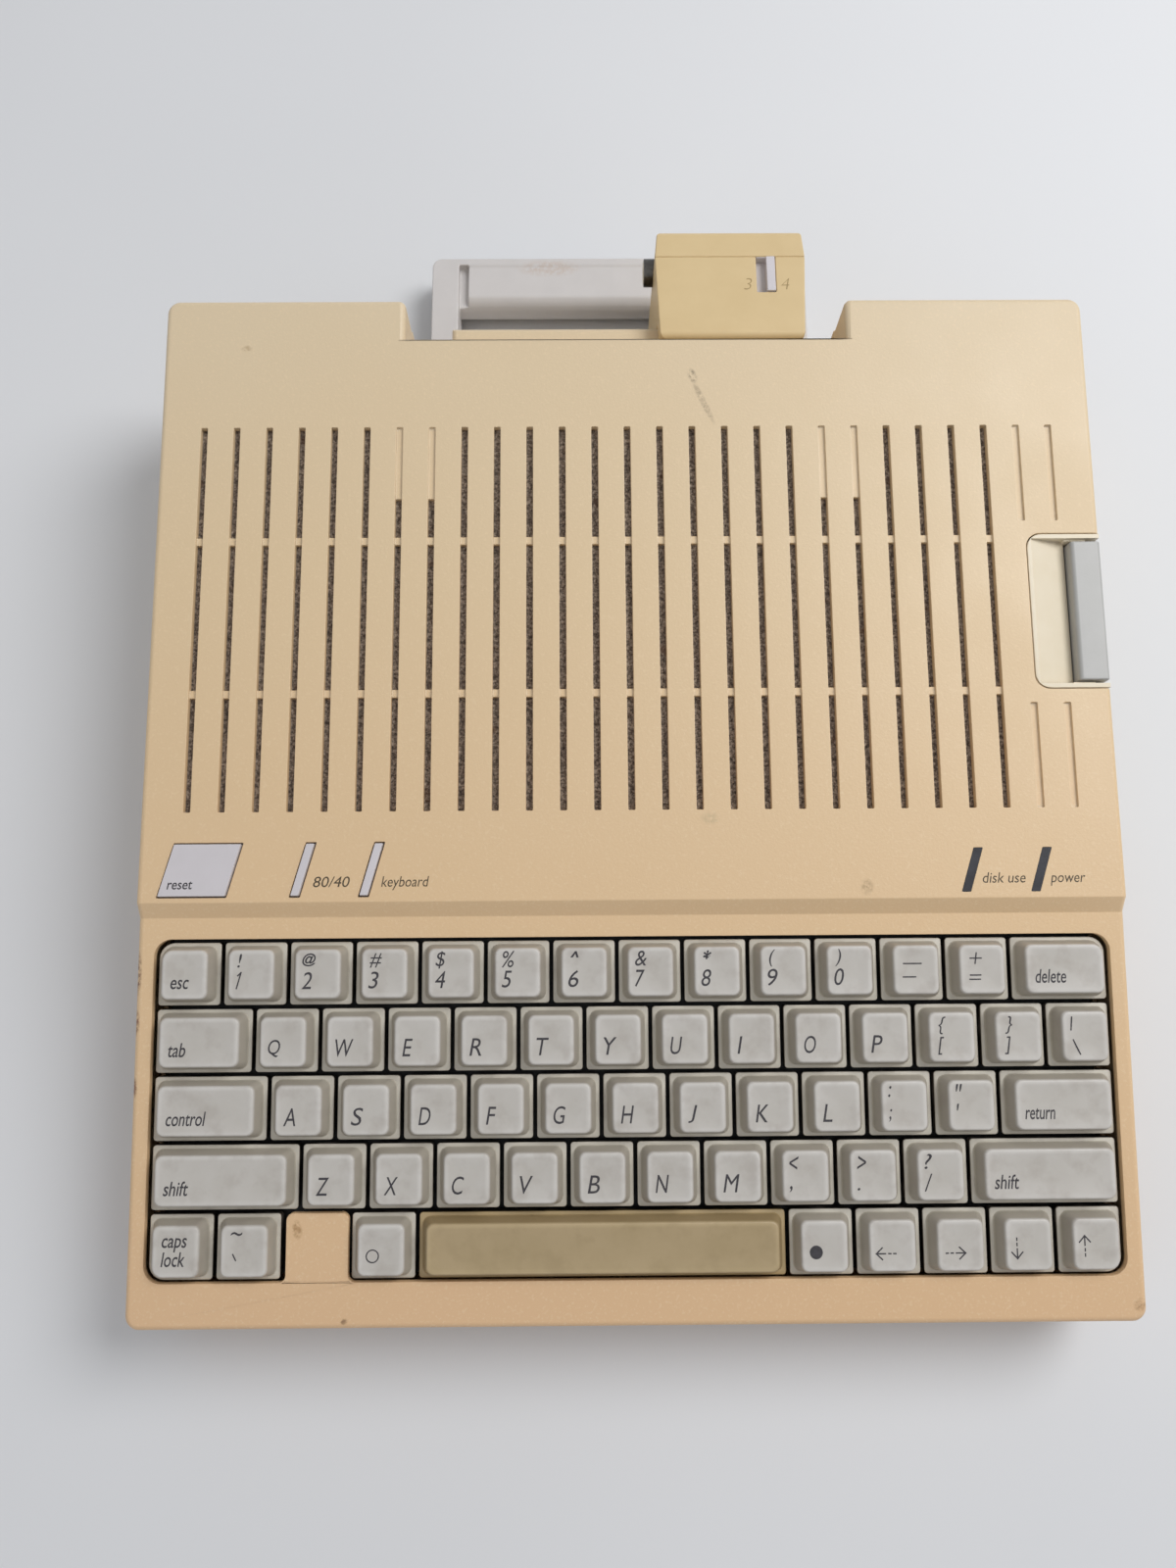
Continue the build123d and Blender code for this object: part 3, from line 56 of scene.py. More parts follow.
# The looks of a compact home computer: aged ABS case, double-shot keys, vented deck.
# Lengths are given in millimetres and turned into metres by MM. Case millimetres count X from the
# middle of the case, Y from its front edge and Z from the table.
MM = 0.001

# ------------------------------------------------------------ sizes shared with the CAD
half_depth = (cad_box[1].y - cad_box[0].y) / MM / 2
case_depth = 305.5
key_pitch = 19.05
key_gap = 1.15
key_columns = 14.5
grid_front = 12.5
rim_depth = 1.7
front_height = 34.0
keyboard_slope = radians(6.5)
deck_slope = radians(4.08)
step_foot_y = 113.6
deck_front_y = 117.6
step_rise = 3.35
skirt_height = 3.0
cap_height = 5.2
cap_ledge = 0.8
cap_side_slope = 1.8
cap_back_slope = 1.3


def case_point(x, y, z):
    """A point in case millimetres, in the metres of the shared frame."""
    return Vector((x, y - half_depth, z)) * MM


def shift(x, y, z):
    """A move by millimetres."""
    return Matrix.Translation(Vector((x, y, z)) * MM)


def sloping_place(x, y, z, slope):
    """The frame of a surface that climbs towards the back, from a point in case millimetres."""
    return Matrix.Translation(case_point(x, y, z)) @ Matrix.Rotation(slope, 4, "X")


deck_height = front_height + step_foot_y * tan(keyboard_slope) + step_rise
deck_place = sloping_place(0, deck_front_y, deck_height, deck_slope)
keys_left = -key_columns * key_pitch / 2
keys_place = sloping_place(keys_left, 0, front_height, keyboard_slope) @ shift(0, grid_front, -rim_depth)


# ------------------------------------------------------------ shader helpers
def linear(code):
    """An sRGB hex colour in linear light."""
    parts = [int(code[i:i + 2], 16) / 255 for i in (1, 3, 5)]
    return tuple(p / 12.92 if p <= 0.04045 else ((p + 0.055) / 1.055) ** 2.4 for p in parts) + (1.0,)


def add(material, kind, inputs=None, **settings):
    """Adds a shader node, sets its properties, and gives its inputs their values or links."""
    tree = material.node_tree
    node = tree.nodes.new(kind)
    for name, value in settings.items():
        setattr(node, name, value)
    for name, source in (inputs or {}).items():
        if isinstance(source, bpy.types.NodeSocket):
            tree.links.new(source, node.inputs[name])
        else:
            node.inputs[name].default_value = source
    return node


def new_material(name):
    material = bpy.data.materials.new(name)
    material.use_nodes = True
    material.node_tree.nodes.clear()
    return material


def per_metre(size):
    """The scale of a noise whose grains are this many millimetres wide."""
    return 1 / (size * MM)


def noise(material, place, size, detail=2.0, roughness=0.5):
    """A noise whose grains are this many millimetres wide."""
    return add(material, "ShaderNodeTexNoise", {
        "Scale": per_metre(size), "Detail": detail, "Roughness": roughness, "Vector": place}).outputs["Fac"]


def ramp(material, factor, stops):
    """A colour ramp over a factor; stops are places with hex colours."""
    node = add(material, "ShaderNodeValToRGB", {"Fac": factor})
    elements = node.color_ramp.elements
    elements[0].position, elements[0].color = stops[0][0], linear(stops[0][1])
    elements[1].position, elements[1].color = stops[-1][0], linear(stops[-1][1])
    for place, code in stops[1:-1]:
        elements.new(place).color = linear(code)
    return node.outputs["Color"]


def mask(material, factor, low, high, top=1.0):
    """Turns a factor between two levels into 0 to top."""
    return add(material, "ShaderNodeMapRange", {
        "From Min": low, "From Max": high, "To Max": top, "Value": factor}, clamp=True).outputs["Result"]


def spread(material, factor, low, high):
    """Turns 0 to 1 into low to high."""
    return add(material, "ShaderNodeMapRange", {"To Min": low, "To Max": high, "Value": factor}).outputs[0]


def mixed(material, factor, first, second, blend="MIX"):
    """Mixes two colours; the inputs of the Mix node go by number."""
    inputs = {0: factor, 6: first, 7: second}
    return add(material, "ShaderNodeMix", inputs, data_type="RGBA", blend_type=blend).outputs[2]


def product(material, first, second):
    return add(material, "ShaderNodeMath", {0: first, 1: second}, operation="MULTIPLY").outputs[0]


def distance(material, place):
    """How far a place is from the origin, in the units of the place."""
    return add(material, "ShaderNodeVectorMath", {0: place}, operation="LENGTH").outputs["Value"]


def object_place(material):
    return add(material, "ShaderNodeTexCoord").outputs["Object"]


def finish_surface(material, colour, roughness, bump=None, bump_depth=0.0, **fixed):
    """The Principled surface and output; bump_depth is in millimetres."""
    inputs = {"Base Color": colour, "Roughness": roughness, **fixed}
    if bump:
        relief = add(material, "ShaderNodeBump", {
            "Strength": 1.0, "Distance": bump_depth * MM, "Height": bump})
        inputs["Normal"] = relief.outputs["Normal"]
    surface = add(material, "ShaderNodeBsdfPrincipled", inputs)
    add(material, "ShaderNodeOutputMaterial", {"Surface": surface.outputs["BSDF"]})
    return material


def spotted(material, colour, tint, size, detail, roughness, low, high, top):
    """Spots of a second colour where a noise with grains of this size goes from a low to a high level."""
    spots = noise(material, object_place(material), size, detail, roughness)
    return mixed(material, mask(material, spots, low, high, top), colour, linear(tint))


def openness(material, reach):
    """How open a piece is around a place, within so many millimetres: 1 in the open, 0 shut in."""
    node = add(material, "ShaderNodeAmbientOcclusion", {"Distance": reach * MM}, samples=8, only_local=True)
    return node.outputs["AO"]


def shade_and_dirt_in_hollows(material, colour, tint, reach, start, end, top, patch_size):
    """Darkening in the hollows of a shape, broken up by a noise: painted shade, with dirt where it gathers.
    """
    hollows = mask(material, openness(material, reach), start, end, top)
    patches = mask(material, noise(material, object_place(material), patch_size, 4.0), 0.3, 0.65)
    return mixed(material, product(material, hollows, patches), colour, linear(tint))


def pale_in_hollows(material, colour, pale, reach):
    """Light has yellowed the open surfaces; inside grooves and slots the plastic has stayed pale."""
    return mixed(material, mask(material, openness(material, reach), 0.85, 0.55, 0.7), colour, linear(pale))


def stained(material, colour, stain):
    """A mark left by use: an oval with ragged edges at a place in case millimetres."""
    x, y, z, across, along, turn, tint, strength = stain
    place = object_place(material)
    local = add(material, "ShaderNodeMapping", {
        "Location": case_point(x, y, z), "Rotation": (0, 0, radians(turn)),
        "Scale": Vector((across, along, along)) * MM, "Vector": place}, vector_type="TEXTURE")
    near = mask(material, distance(material, local.outputs[0]), 1.0, 0.5, strength)
    ragged = mask(material, noise(material, place, 1.3, 4.0, 0.65), 0.37, 0.58)
    return mixed(material, product(material, near, ragged), colour, linear(tint))


# ------------------------------------------------------------ materials
# Painted light and shade on a key, by height in millimetres above its ledge: painted shade near black between
# the keys, painted highlight on the ledge, painted shade on the walls, the top plain and a painted highlight
# on the rim.
painted_shading_low, painted_shading_high = -1.4, 5.2
painted_light_and_shade_by_height = [
    (-1.0, "#1E1B18"), (-0.4, "#6E675E"), (-0.22, "#FBF9F1"), (0.3, "#F4F1E6"), (0.9, "#D9D5CB"),
    (4.2, "#D5CFC5"), (4.8, "#EFEEEC"), (5.08, "#F3F2F1"), (5.18, "#FFFFFF"),
]
# The colour of the case from its front to its back, and the Y of both in metres: yellowing, with painted
# shade that darkens the front edge.
yellowed_from, yellowed_to = -0.175, 0.13
case_yellowing_and_front_shade = [
    (0.0, "#DBB68D"), (0.12, "#DCBA91"), (0.4, "#DDBE95"), (0.7, "#DCC39D"), (1.0, "#DAC7A7"),
]
# Mottle, specks and flecks on the case, each as spotted() takes it.
case_spots = [
    ("#D6B88A", 70.0, 3.0, 0.5, 0.35, 0.7, 0.12),
    ("#C2A678", 3.0, 5.0, 0.7, 0.66, 0.8, 0.12),
    ("#EAD2AE", 0.9, 2.0, 0.6, 0.56, 0.68, 0.3),
]
# Marks on the case and on the grip: X, Y and Z, half width and half length, turn in degrees, colour
# and strength.
case_stains = [
    (20.5, 279.5, 61.9, 1.6, 2.8, 20.0, "#7C6E58", 0.85),
    (23.7, 270.9, 61.0, 1.2, 9.0, 24.0, "#A9967A", 0.85),
    (67.9, 120.9, 50.5, 2.2, 2.8, 0.0, "#A88E69", 0.7),
    (-95.6, 26.7, 37.0, 1.6, 3.0, 10.0, "#A07A4C", 0.8),
    (-143.0, 98.0, 44.0, 1.3, 7.0, 0.0, "#6E4630", 0.9),
    (-143.0, 84.0, 43.0, 1.2, 4.0, 0.0, "#7C5036", 0.9),
    (-143.0, 66.0, 41.0, 1.2, 3.2, 0.0, "#7C5036", 0.9),
    (141.5, 4.5, 34.4, 2.2, 2.2, 0.0, "#9C7650", 0.7),
    (-82.0, 2.0, 34.2, 1.2, 1.0, 0.0, "#7A5A3A", 0.9),
    (22.9, 141.2, 52.0, 3.4, 2.2, 0.0, "#C5AE88", 0.7),
    (-118.0, 289.0, 62.6, 2.0, 1.2, 0.0, "#A98F68", 0.6),
]
handle_stains = [(-25.3, 353.0, 15.0, 13.0, 3.6, 0.0, "#C3B2A5", 0.6)]


def aged_case_abs():
    """Injection-moulded ABS, spark-eroded to a fine matt grain. Decades of light have yellowed it, more
    towards the front edge, where painted shade darkens it further, and hands have left faint darker patches."""
    material = new_material("aged_case_abs")
    place = object_place(material)
    along = add(material, "ShaderNodeSeparateXYZ", {"Vector": place}).outputs["Y"]
    # Yellowing from front to back, with painted shade along the front edge.
    colour = ramp(material, mask(material, along, yellowed_from, yellowed_to), case_yellowing_and_front_shade)
    for spots in case_spots:
        colour = spotted(material, colour, *spots)
    colour = pale_in_hollows(material, colour, "#E3D8C2", 1.2)
    # Painted shade, with some dirt, in the hollows of the case.
    colour = shade_and_dirt_in_hollows(material, colour, "#8A6A42", 2.5, 0.7, 0.2, 0.5, 6.0)
    for stain in case_stains:
        colour = stained(material, colour, stain)
    grain = noise(material, place, 0.8, 3.0, 0.6)
    rough = spread(material, mask(material, noise(material, place, 25.0), 0.3, 0.7), 0.42, 0.52)
    return finish_surface(material, colour, rough, grain, 0.055, IOR=1.54)


def case_screen():
    """A dark woven dust screen, seen only through the vents: coarse black threads full of grey dust."""
    material = new_material("dusty_woven_screen")
    place = object_place(material)
    dust = noise(material, place, 0.9, 3.0, 0.8)
    colour = ramp(material, dust, [(0.3, "#2C2724"), (0.45, "#6A6059"), (0.57, "#A2968B"), (0.72, "#D6CABC")])
    colour = spotted(material, colour, "#5A3A24", 8.0, 2.0, 0.5, 0.66, 0.72, 0.5)
    return finish_surface(material, colour, 0.9, dust, 0.25)


def key_pbt(name, light, shade, smudge_colour, hollow_shade_and_dirt_colour):
    """Double-shot key plastic with a fine satin texture. Painted shade darkens the walls and falls near black
    between the keys, painted highlights brighten the ledge and the rim, and the hollows are darkened as
    painted shade with some dirt."""
    material = new_material(name)
    place = object_place(material)
    patches = mask(material, noise(material, place, 11.0, 4.0, 0.6), 0.35, 0.7)
    colour = mixed(material, product(material, patches, 0.6), linear(light), linear(shade))
    up = keys_place.to_3x3() @ Vector((0, 0, 1))
    height = add(material, "ShaderNodeVectorMath", {0: place, 1: up}, operation="DOT_PRODUCT")
    level = up.dot(keys_place.translation)
    height = mask(material, height.outputs["Value"], level + painted_shading_low * MM, level + painted_shading_high * MM)
    stops = [((up_mm - painted_shading_low) / (painted_shading_high - painted_shading_low), code) for up_mm, code in painted_light_and_shade_by_height]
    # Painted light and shade by height: near black between the keys, highlights on the ledge and the rim,
    # shade on the walls.
    painted_shading = ramp(material, height, stops)
    colour = mixed(material, 1.0, colour, painted_shading, "MULTIPLY")
    # Painted shade, with some dirt, in the hollows between and around the keys.
    colour = shade_and_dirt_in_hollows(material, colour, hollow_shade_and_dirt_colour, 2.0, 0.6, 0.1, 0.6, 3.0)
    colour = spotted(material, colour, smudge_colour, 7.0, 3.0, 0.55, 0.5, 0.7, 0.32)
    grain = noise(material, place, 0.45)
    return finish_surface(material, colour, 0.45, grain, 0.012, IOR=1.53)


def satin_plastic(name, light, shade, hollow_shade_and_dirt=0.4, stains=()):
    """Smooth satin ABS, as moulded from a polished tool, darker in its hollows as painted shade with a little
    dirt.
    """
    material = new_material(name)
    colour = spotted(material, linear(light), shade, 14.0, 4.0, 0.6, 0.3, 0.75, 0.7)
    # Painted shade, with some dirt, in the hollows.
    colour = shade_and_dirt_in_hollows(material, colour, "#6B5A42", 2.5, 0.8, 0.3, hollow_shade_and_dirt, 3.0)
    for stain in stains:
        colour = stained(material, colour, stain)
    grain = noise(material, object_place(material), 0.5)
    return finish_surface(material, colour, 0.42, grain, 0.008, IOR=1.53)


def black_plastic(name):
    """Black glass-filled nylon or black paint: dull, with a faint dusty bloom."""
    material = new_material(name)
    dust = mask(material, noise(material, object_place(material), 2.0, 4.0), 0.45, 0.75)
    colour = mixed(material, dust, linear("#161617"), linear("#343331"))
    return finish_surface(material, colour, 0.55, dust, 0.01)


def smoked_lens():
    """Smoked acrylic over a lamp that is off: nearly black, with a glossy skin."""
    material = new_material("smoked_acrylic")
    tint = noise(material, object_place(material), 4.0)
    colour = ramp(material, tint, [(0.3, "#26262B"), (0.7, "#3A3A40")])
    return finish_surface(material, colour, 0.16, IOR=1.49)


def plated_metal(name, light, dark, roughness):
    """Plated pressed steel, with the cloudy grey of old zinc or nickel."""
    material = new_material(name)
    cloud = noise(material, object_place(material), 5.0, 4.0)
    colour = ramp(material, cloud, [(0.35, dark), (0.65, light)])
    rough = spread(material, cloud, roughness, roughness + 0.15)
    return finish_surface(material, colour, rough, cloud, 0.004, Metallic=1.0)


def solder_resist():
    """Green solder resist over glass-fibre board, with the tracks showing as paler lines."""
    material = new_material("green_solder_resist")
    tracks = add(material, "ShaderNodeTexBrick", {
        "Scale": per_metre(9.0), "Mortar Size": 0.02, "Vector": object_place(material)})
    colour = mixed(material, tracks.outputs["Fac"], linear("#1E5A36"), linear("#3C7A50"))
    return finish_surface(material, colour, 0.35)


def foot_rubber():
    """Grey-brown moulded rubber, matt and scuffed."""
    material = new_material("moulded_rubber")
    scuffs = noise(material, object_place(material), 1.5, 4.0)
    colour = ramp(material, scuffs, [(0.35, "#4C4844"), (0.7, "#6E6963")])
    return finish_surface(material, colour, 0.8, scuffs, 0.05)


def printed_ink(name, light, dark):
    """Pad-printed ink: thin, matt, and worn a little uneven."""
    material = new_material(name)
    wear = noise(material, object_place(material), 0.8, 3.0)
    colour = ramp(material, wear, [(0.4, dark), (0.75, light)])
    return finish_surface(material, colour, 0.6)


materials = {
    "aged_case_plastic": aged_case_abs(),
    # The strength given to each satin plastic and the last colour given to each key plastic darken their
    # hollows: painted shade with some dirt.
    "bezel_plastic": satin_plastic("bezel_abs", "#E2D6BE", "#DACBAE", hollow_shade_and_dirt=0.7),
    "handle_plastic": satin_plastic("handle_abs", "#D2CECC", "#CAC6C4", hollow_shade_and_dirt=0.15, stains=handle_stains),
    "key_plastic": key_pbt("key_pbt", "#CDC9C3", "#C0BBB3", "#9A9086", "#6F6354"),
    "space_bar_plastic": key_pbt("yellowed_space_bar_pbt", "#B5A07B", "#A8946D", "#8F7C58", "#54442C"),
    "button_plastic": satin_plastic("button_abs", "#D2CDD0", "#C8C3C5"),
    "latch_plastic": satin_plastic("latch_abs", "#B1B0AD", "#A6A5A1"),
    "modulator_plastic": satin_plastic("modulator_abs", "#D8BF90", "#CFB585", hollow_shade_and_dirt=0.7),
    "smoked_plastic": smoked_lens(),
    "black_plastic": black_plastic("black_glass_filled_nylon"),
    "woven_screen": case_screen(),
    "steel": plated_metal("zinc_plated_steel", "#B8B9BA", "#8C8C8C", 0.35),
    "nickel": plated_metal("nickel_plated_brass", "#B5B2AC", "#7E7C78", 0.2),
    "blackened_steel": black_plastic("black_painted_steel"),
    "aluminium_can": plated_metal("rolled_aluminium", "#C3C5C7", "#A6A8AA", 0.4),
    "circuit_board": solder_resist(),
    "foot_rubber": foot_rubber(),
}
materials["lower_case_plastic"] = materials["aged_case_plastic"]
legend_ink = printed_ink("legend_ink", "#3A373C", "#2A272B")
label_ink = printed_ink("label_ink", "#55482F", "#3C3122")
mark_ink = printed_ink("white_mark_ink", "#D8D6D0", "#B4B2AC")
# The channel numbers are drawn flat in a darker colour: painted shade of their engraving, with dirt in it.
engraving = printed_ink("shade_and_dirt_in_engraving", "#AE9566", "#927A4E")
dark_nickel = plated_metal("tarnished_nickel", "#5C5A57", "#23211F", 0.18)
brass = plated_metal("gold_flashed_brass", "#C9A25A", "#A07C3C", 0.3)
insulator = satin_plastic("ivory_nylon", "#D9D2BE", "#C9C0A8")

slot_of_node = {part["node"]: part["material_slot"] for part in frame["record"]["subparts"]}
for name, node in frame["nodes"].items():
    node.data.materials.clear()
    node.data.materials.append(materials[slot_of_node[name]])


# ------------------------------------------------------------ modelling helpers
# How nearly a direction must follow an axis, and how near a place must be to a level.
along_axis = 0.9
at_level = 0.01


def object_mode():
    if bpy.context.object and bpy.context.object.mode != "OBJECT":
        bpy.ops.object.mode_set(mode="OBJECT")


def only(piece):
    """Makes one object the only selected and active one."""
    object_mode()
    bpy.ops.object.select_all(action="DESELECT")
    piece.select_set(True)
    bpy.context.view_layer.objects.active = piece
    return piece


def started(name):
    """Names the primitive that was just added and puts its place into its mesh."""
    piece = bpy.context.object
    only(piece)
    bpy.ops.object.transform_apply(location=True, rotation=True, scale=True)
    piece.name = name
    piece.data.name = name
    return piece


def block(name, low, high):
    """A box between two corners in millimetres, to be shaped further."""
    size = [(b - a) * MM for a, b in zip(low, high)]
    middle = [(a + b) / 2 * MM for a, b in zip(low, high)]
    object_mode()
    bpy.ops.mesh.primitive_cube_add(size=1, location=middle, scale=size)
    return started(name)


def choose(piece, kind, test):
    """Leaves edit mode on with only the faces or edges selected that pass a test of place and direction."""
    only(piece)
    bpy.ops.object.mode_set(mode="EDIT")
    bpy.ops.mesh.select_mode(type=kind)
    bpy.ops.mesh.select_all(action="DESELECT")
    bpy.ops.object.mode_set(mode="OBJECT")
    points = piece.data.vertices
    if kind == "FACE":
        for face in piece.data.polygons:
            face.select = test(face.center / MM, face.normal)
    else:
        for edge in piece.data.edges:
            a, b = (points[i].co for i in edge.vertices)
            edge.select = test((a + b) / 2 / MM, (b - a).normalized())
    bpy.ops.object.mode_set(mode="EDIT")


def modified(piece, kind, **settings):
    """Adds a modifier, sets it and applies it."""
    only(piece)
    modifier = piece.modifiers.new(kind.lower(), kind)
    for name, value in settings.items():
        setattr(modifier, name, value)
    bpy.ops.object.modifier_apply(modifier=modifier.name)
    return piece


def smooth(piece, angle=35.0):
    """Smooths the shading across edges that turn by less than this many degrees."""
    only(piece)
    bpy.ops.object.shade_smooth_by_angle(angle=radians(angle))
    return piece


def joined(name, pieces):
    """Joins several pieces into one mesh."""
    object_mode()
    bpy.ops.object.select_all(action="DESELECT")
    for piece in pieces:
        piece.select_set(True)
    bpy.context.view_layer.objects.active = pieces[0]
    if len(pieces) > 1:
        bpy.ops.object.join()
    whole = bpy.context.object
    whole.name = name
    whole.data.name = name
    return whole


def duplicate(piece):
    twin = piece.copy()
    twin.data = piece.data.copy()
    bpy.context.collection.objects.link(twin)
    return twin


def placed(piece, place):
    """Moves a piece's mesh by a matrix; its object stays at the origin."""
    piece.data.transform(place)
    return piece


def dressed(piece, material, body, slot, *stands_for):
    """Gives a piece its material and its body, and hides the CAD nodes that it stands for. The slot is not
    used.
    """
    piece.data.materials.clear()
    piece.data.materials.append(material)
    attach(piece, body)
    if stands_for:
        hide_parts(*stands_for)
    return piece


def faces_up(place, normal):
    return normal.z > along_axis


def upright(place, direction):
    return abs(direction.z) > 0.7


# Points this near are one, and faces that turn by fewer degrees are one flat face; edges that turn by
# more than sharp_angle are bevelled.
weld_distance = 0.0005
flat_angle = 0.4
sharp_angle = 25.0


def softened(node, body, width, segments=2, sink=None, lean=None, pierced=False, material=None):
    """A copy of a CAD piece whose sharp edges are broken to a small radius. Sink is a test for a flat
    face, the width of the rim left round it and the way it sinks. Lean is a test for edges and the way
    they move. A pierced piece, whose flat faces have many holes, is cut into triangles first."""
    copy = duplicate(frame["nodes"][node])
    copy.name = node + "_moulding"
    only(copy)
    bpy.ops.object.mode_set(mode="EDIT")
    bpy.ops.mesh.select_all(action="SELECT")
    bpy.ops.mesh.remove_doubles(threshold=weld_distance * MM)
    bpy.ops.mesh.dissolve_limited(angle_limit=radians(flat_angle))
    if sink:
        test, rim, down = sink
        choose(copy, "FACE", test)
        bpy.ops.mesh.inset(thickness=rim * MM)
        bpy.ops.mesh.extrude_region_move(TRANSFORM_OT_translate={"value": Vector(down) * MM})
        bpy.ops.mesh.select_all(action="SELECT")
    if lean:
        test, way = lean
        choose(copy, "EDGE", test)
        bpy.ops.transform.translate(value=Vector(way) * MM)
        bpy.ops.mesh.select_all(action="SELECT")
    if pierced:
        bpy.ops.mesh.quads_convert_to_tris(quad_method="BEAUTY", ngon_method="BEAUTY")
    bpy.ops.mesh.customdata_custom_splitnormals_clear()
    bpy.ops.object.mode_set(mode="OBJECT")
    modified(copy, "BEVEL", width=width * MM, segments=segments, limit_method="ANGLE",
             angle_limit=radians(sharp_angle), use_clamp_overlap=False, miter_outer="MITER_ARC")
    smooth(copy, 40.0)
    modified(copy, "WEIGHTED_NORMAL", keep_sharp=True, weight=100)
    slot = slot_of_node[node]
    return dressed(copy, material or materials[slot], body, slot, node)


# ------------------------------------------------------------ keyboard
number_row = list(zip("1234567890-=", "!@#$%^&*()_+"))
upper_row = [(c, "") for c in "QWERTYUIOP"] + [("[", "{"), ("]", "}"), ("\\", "|")]
home_row = [(c, "") for c in "ASDFGHJKL"] + [(";", ":"), ("'", "\"")]
lower_row = [(c, "") for c in "ZXCVBNM"] + [(",", "<"), (".", ">"), ("/", "?")]

# Each group of keys: its row from the front, its first key's left edge in key units, its key
# widths, and what is printed on each key.
key_groups = {
    "number_row_keys": (4, 1.0, [1.0] * 12, number_row),
    "upper_row_keys": (3, 1.5, [1.0] * 13, upper_row),
    "home_row_keys": (2, 1.75, [1.0] * 11, home_row),
    "lower_row_keys": (1, 2.25, [1.0] * 10, lower_row),
    "escape_key": (4, 0.0, [1.0], ["esc"]),
    "delete_key": (4, 13.0, [1.5], ["delete"]),
    "tab_key": (3, 0.0, [1.5], ["tab"]),
    "control_key": (2, 0.0, [1.75], ["control"]),
    "return_key": (2, 12.75, [1.75], ["return"]),
    "left_shift_key": (1, 0.0, [2.25], ["shift"]),
    "right_shift_key": (1, 12.25, [2.25], ["shift"]),
    "caps_lock_key": (0, 0.0, [1.0], ["caps\nlock"]),
    "grave_key": (0, 1.0, [1.0], [("`", "~")]),
    "left_symbol_key": (0, 3.0, [1.0], ["ring"]),
    "space_bar": (0, 4.0, [5.5], [""]),
    "right_symbol_key": (0, 9.5, [1.0], ["disc"]),
    "left_arrow_key": (0, 10.5, [1.0], ["left"]),
    "right_arrow_key": (0, 11.5, [1.0], ["right"]),
    "down_arrow_key": (0, 12.5, [1.0], ["down"]),
    "up_arrow_key": (0, 13.5, [1.0], ["up"]),
}
# The corner of each outer key that follows the rounding of the case's opening, as signs of X and Y.
outer_corners = {
    "escape_key": (-1, 1), "delete_key": (1, 1), "caps_lock_key": (-1, -1), "up_arrow_key": (1, -1),
}

skirt_corner = 0.9
outer_skirt_corner = 4.4
skirt_hollow = 1.5
ledge_round = 0.3
foot_corner = 2.3
outer_foot_corner = 3.6
foot_depth = 0.4
cap_rim = 0.5
cap_wall = 1.2
# The rings of the dish, each so far in from the last and so far down.
dish_steps = ((0.8, 0.1), (1.2, 0.12), (1.4, 0.1), (1.2, 0.05))


def uprights_in(sign_x, sign_y):
    """A test for the upright edges in one corner."""
    return lambda place, way: upright(place, way) and place.x * sign_x > 0 and place.y * sign_y > 0


def rounded_uprights(piece, radius, outer_radius, outer):
    """Rounds the upright corners; the outer corner of an outer key comes first, with a larger radius."""
    corners = [(x, y) for x in (-1, 1) for y in (-1, 1)]
    for corner in sorted(corners, key=lambda signs: signs != outer):
        choose(piece, "EDGE", uprights_in(*corner))
        if corner == outer:
            bpy.ops.mesh.bevel(offset=outer_radius * MM, segments=6)
        else:
            bpy.ops.mesh.bevel(offset=radius * MM, segments=4)
    object_mode()


def stepped_in(half_x, half_y, inwards, rise):
    """Draws a smaller ring inside the chosen face, which reaches half_x and half_y from the middle."""
    bpy.ops.mesh.extrude_region_move(TRANSFORM_OT_translate={"value": (0, 0, rise * MM)})
    bpy.ops.transform.resize(value=((half_x - inwards) / half_x, (half_y - inwards) / half_y, 1))


def key_cap(width, outer):
    """One cap about its own middle: a skirt with a ledge, and a tapered top with a shallow dish."""
    half_x = (width * key_pitch - key_gap) / 2
    half_y = (key_pitch - key_gap) / 2
    skirt = block("skirt", (-half_x, -half_y, -skirt_height), (half_x, half_y, 0))
    rounded_uprights(skirt, skirt_corner, outer_skirt_corner, outer)
    choose(skirt, "FACE", lambda place, normal: normal.z < -along_axis)
    stepped_in(half_x, half_y, cap_wall, 0)
    bpy.ops.mesh.extrude_region_move(TRANSFORM_OT_translate={"value": (0, 0, skirt_hollow * MM)})
    choose(skirt, "EDGE", lambda place, direction: abs(direction.z) < 0.1 and abs(place.z) < at_level)
    bpy.ops.mesh.bevel(offset=ledge_round * MM, segments=2)

    foot_x, foot_y = half_x - cap_ledge, half_y - cap_ledge
    top_x, top_y = foot_x - cap_side_slope, foot_y - cap_back_slope
    top = block("top", (-foot_x, -foot_y, -foot_depth), (foot_x, foot_y, cap_height))
    rounded_uprights(top, foot_corner, outer_foot_corner, outer)
    choose(top, "FACE", faces_up)
    bpy.ops.transform.resize(value=(top_x / foot_x, top_y / foot_y, 1))
    choose(top, "EDGE", lambda place, direction: abs(direction.z) < 0.1 and place.z > cap_height - at_level)
    bpy.ops.mesh.bevel(offset=cap_rim * MM, segments=3)
    choose(top, "FACE", lambda place, normal: normal.z > 0.99 and place.z > cap_height - at_level)
    rim_x, rim_y = top_x - cap_rim, top_y - cap_rim
    for inwards, down in dish_steps:
        stepped_in(rim_x, rim_y, inwards, -down)
        rim_x -= inwards
        rim_y -= inwards
    object_mode()
    return smooth(joined("cap", [skirt, top]), 50.0)


# ------------------------------------------------------------ lettering
letter_slant = 0.2
print_thickness = 0.02
stroke_width = 0.38


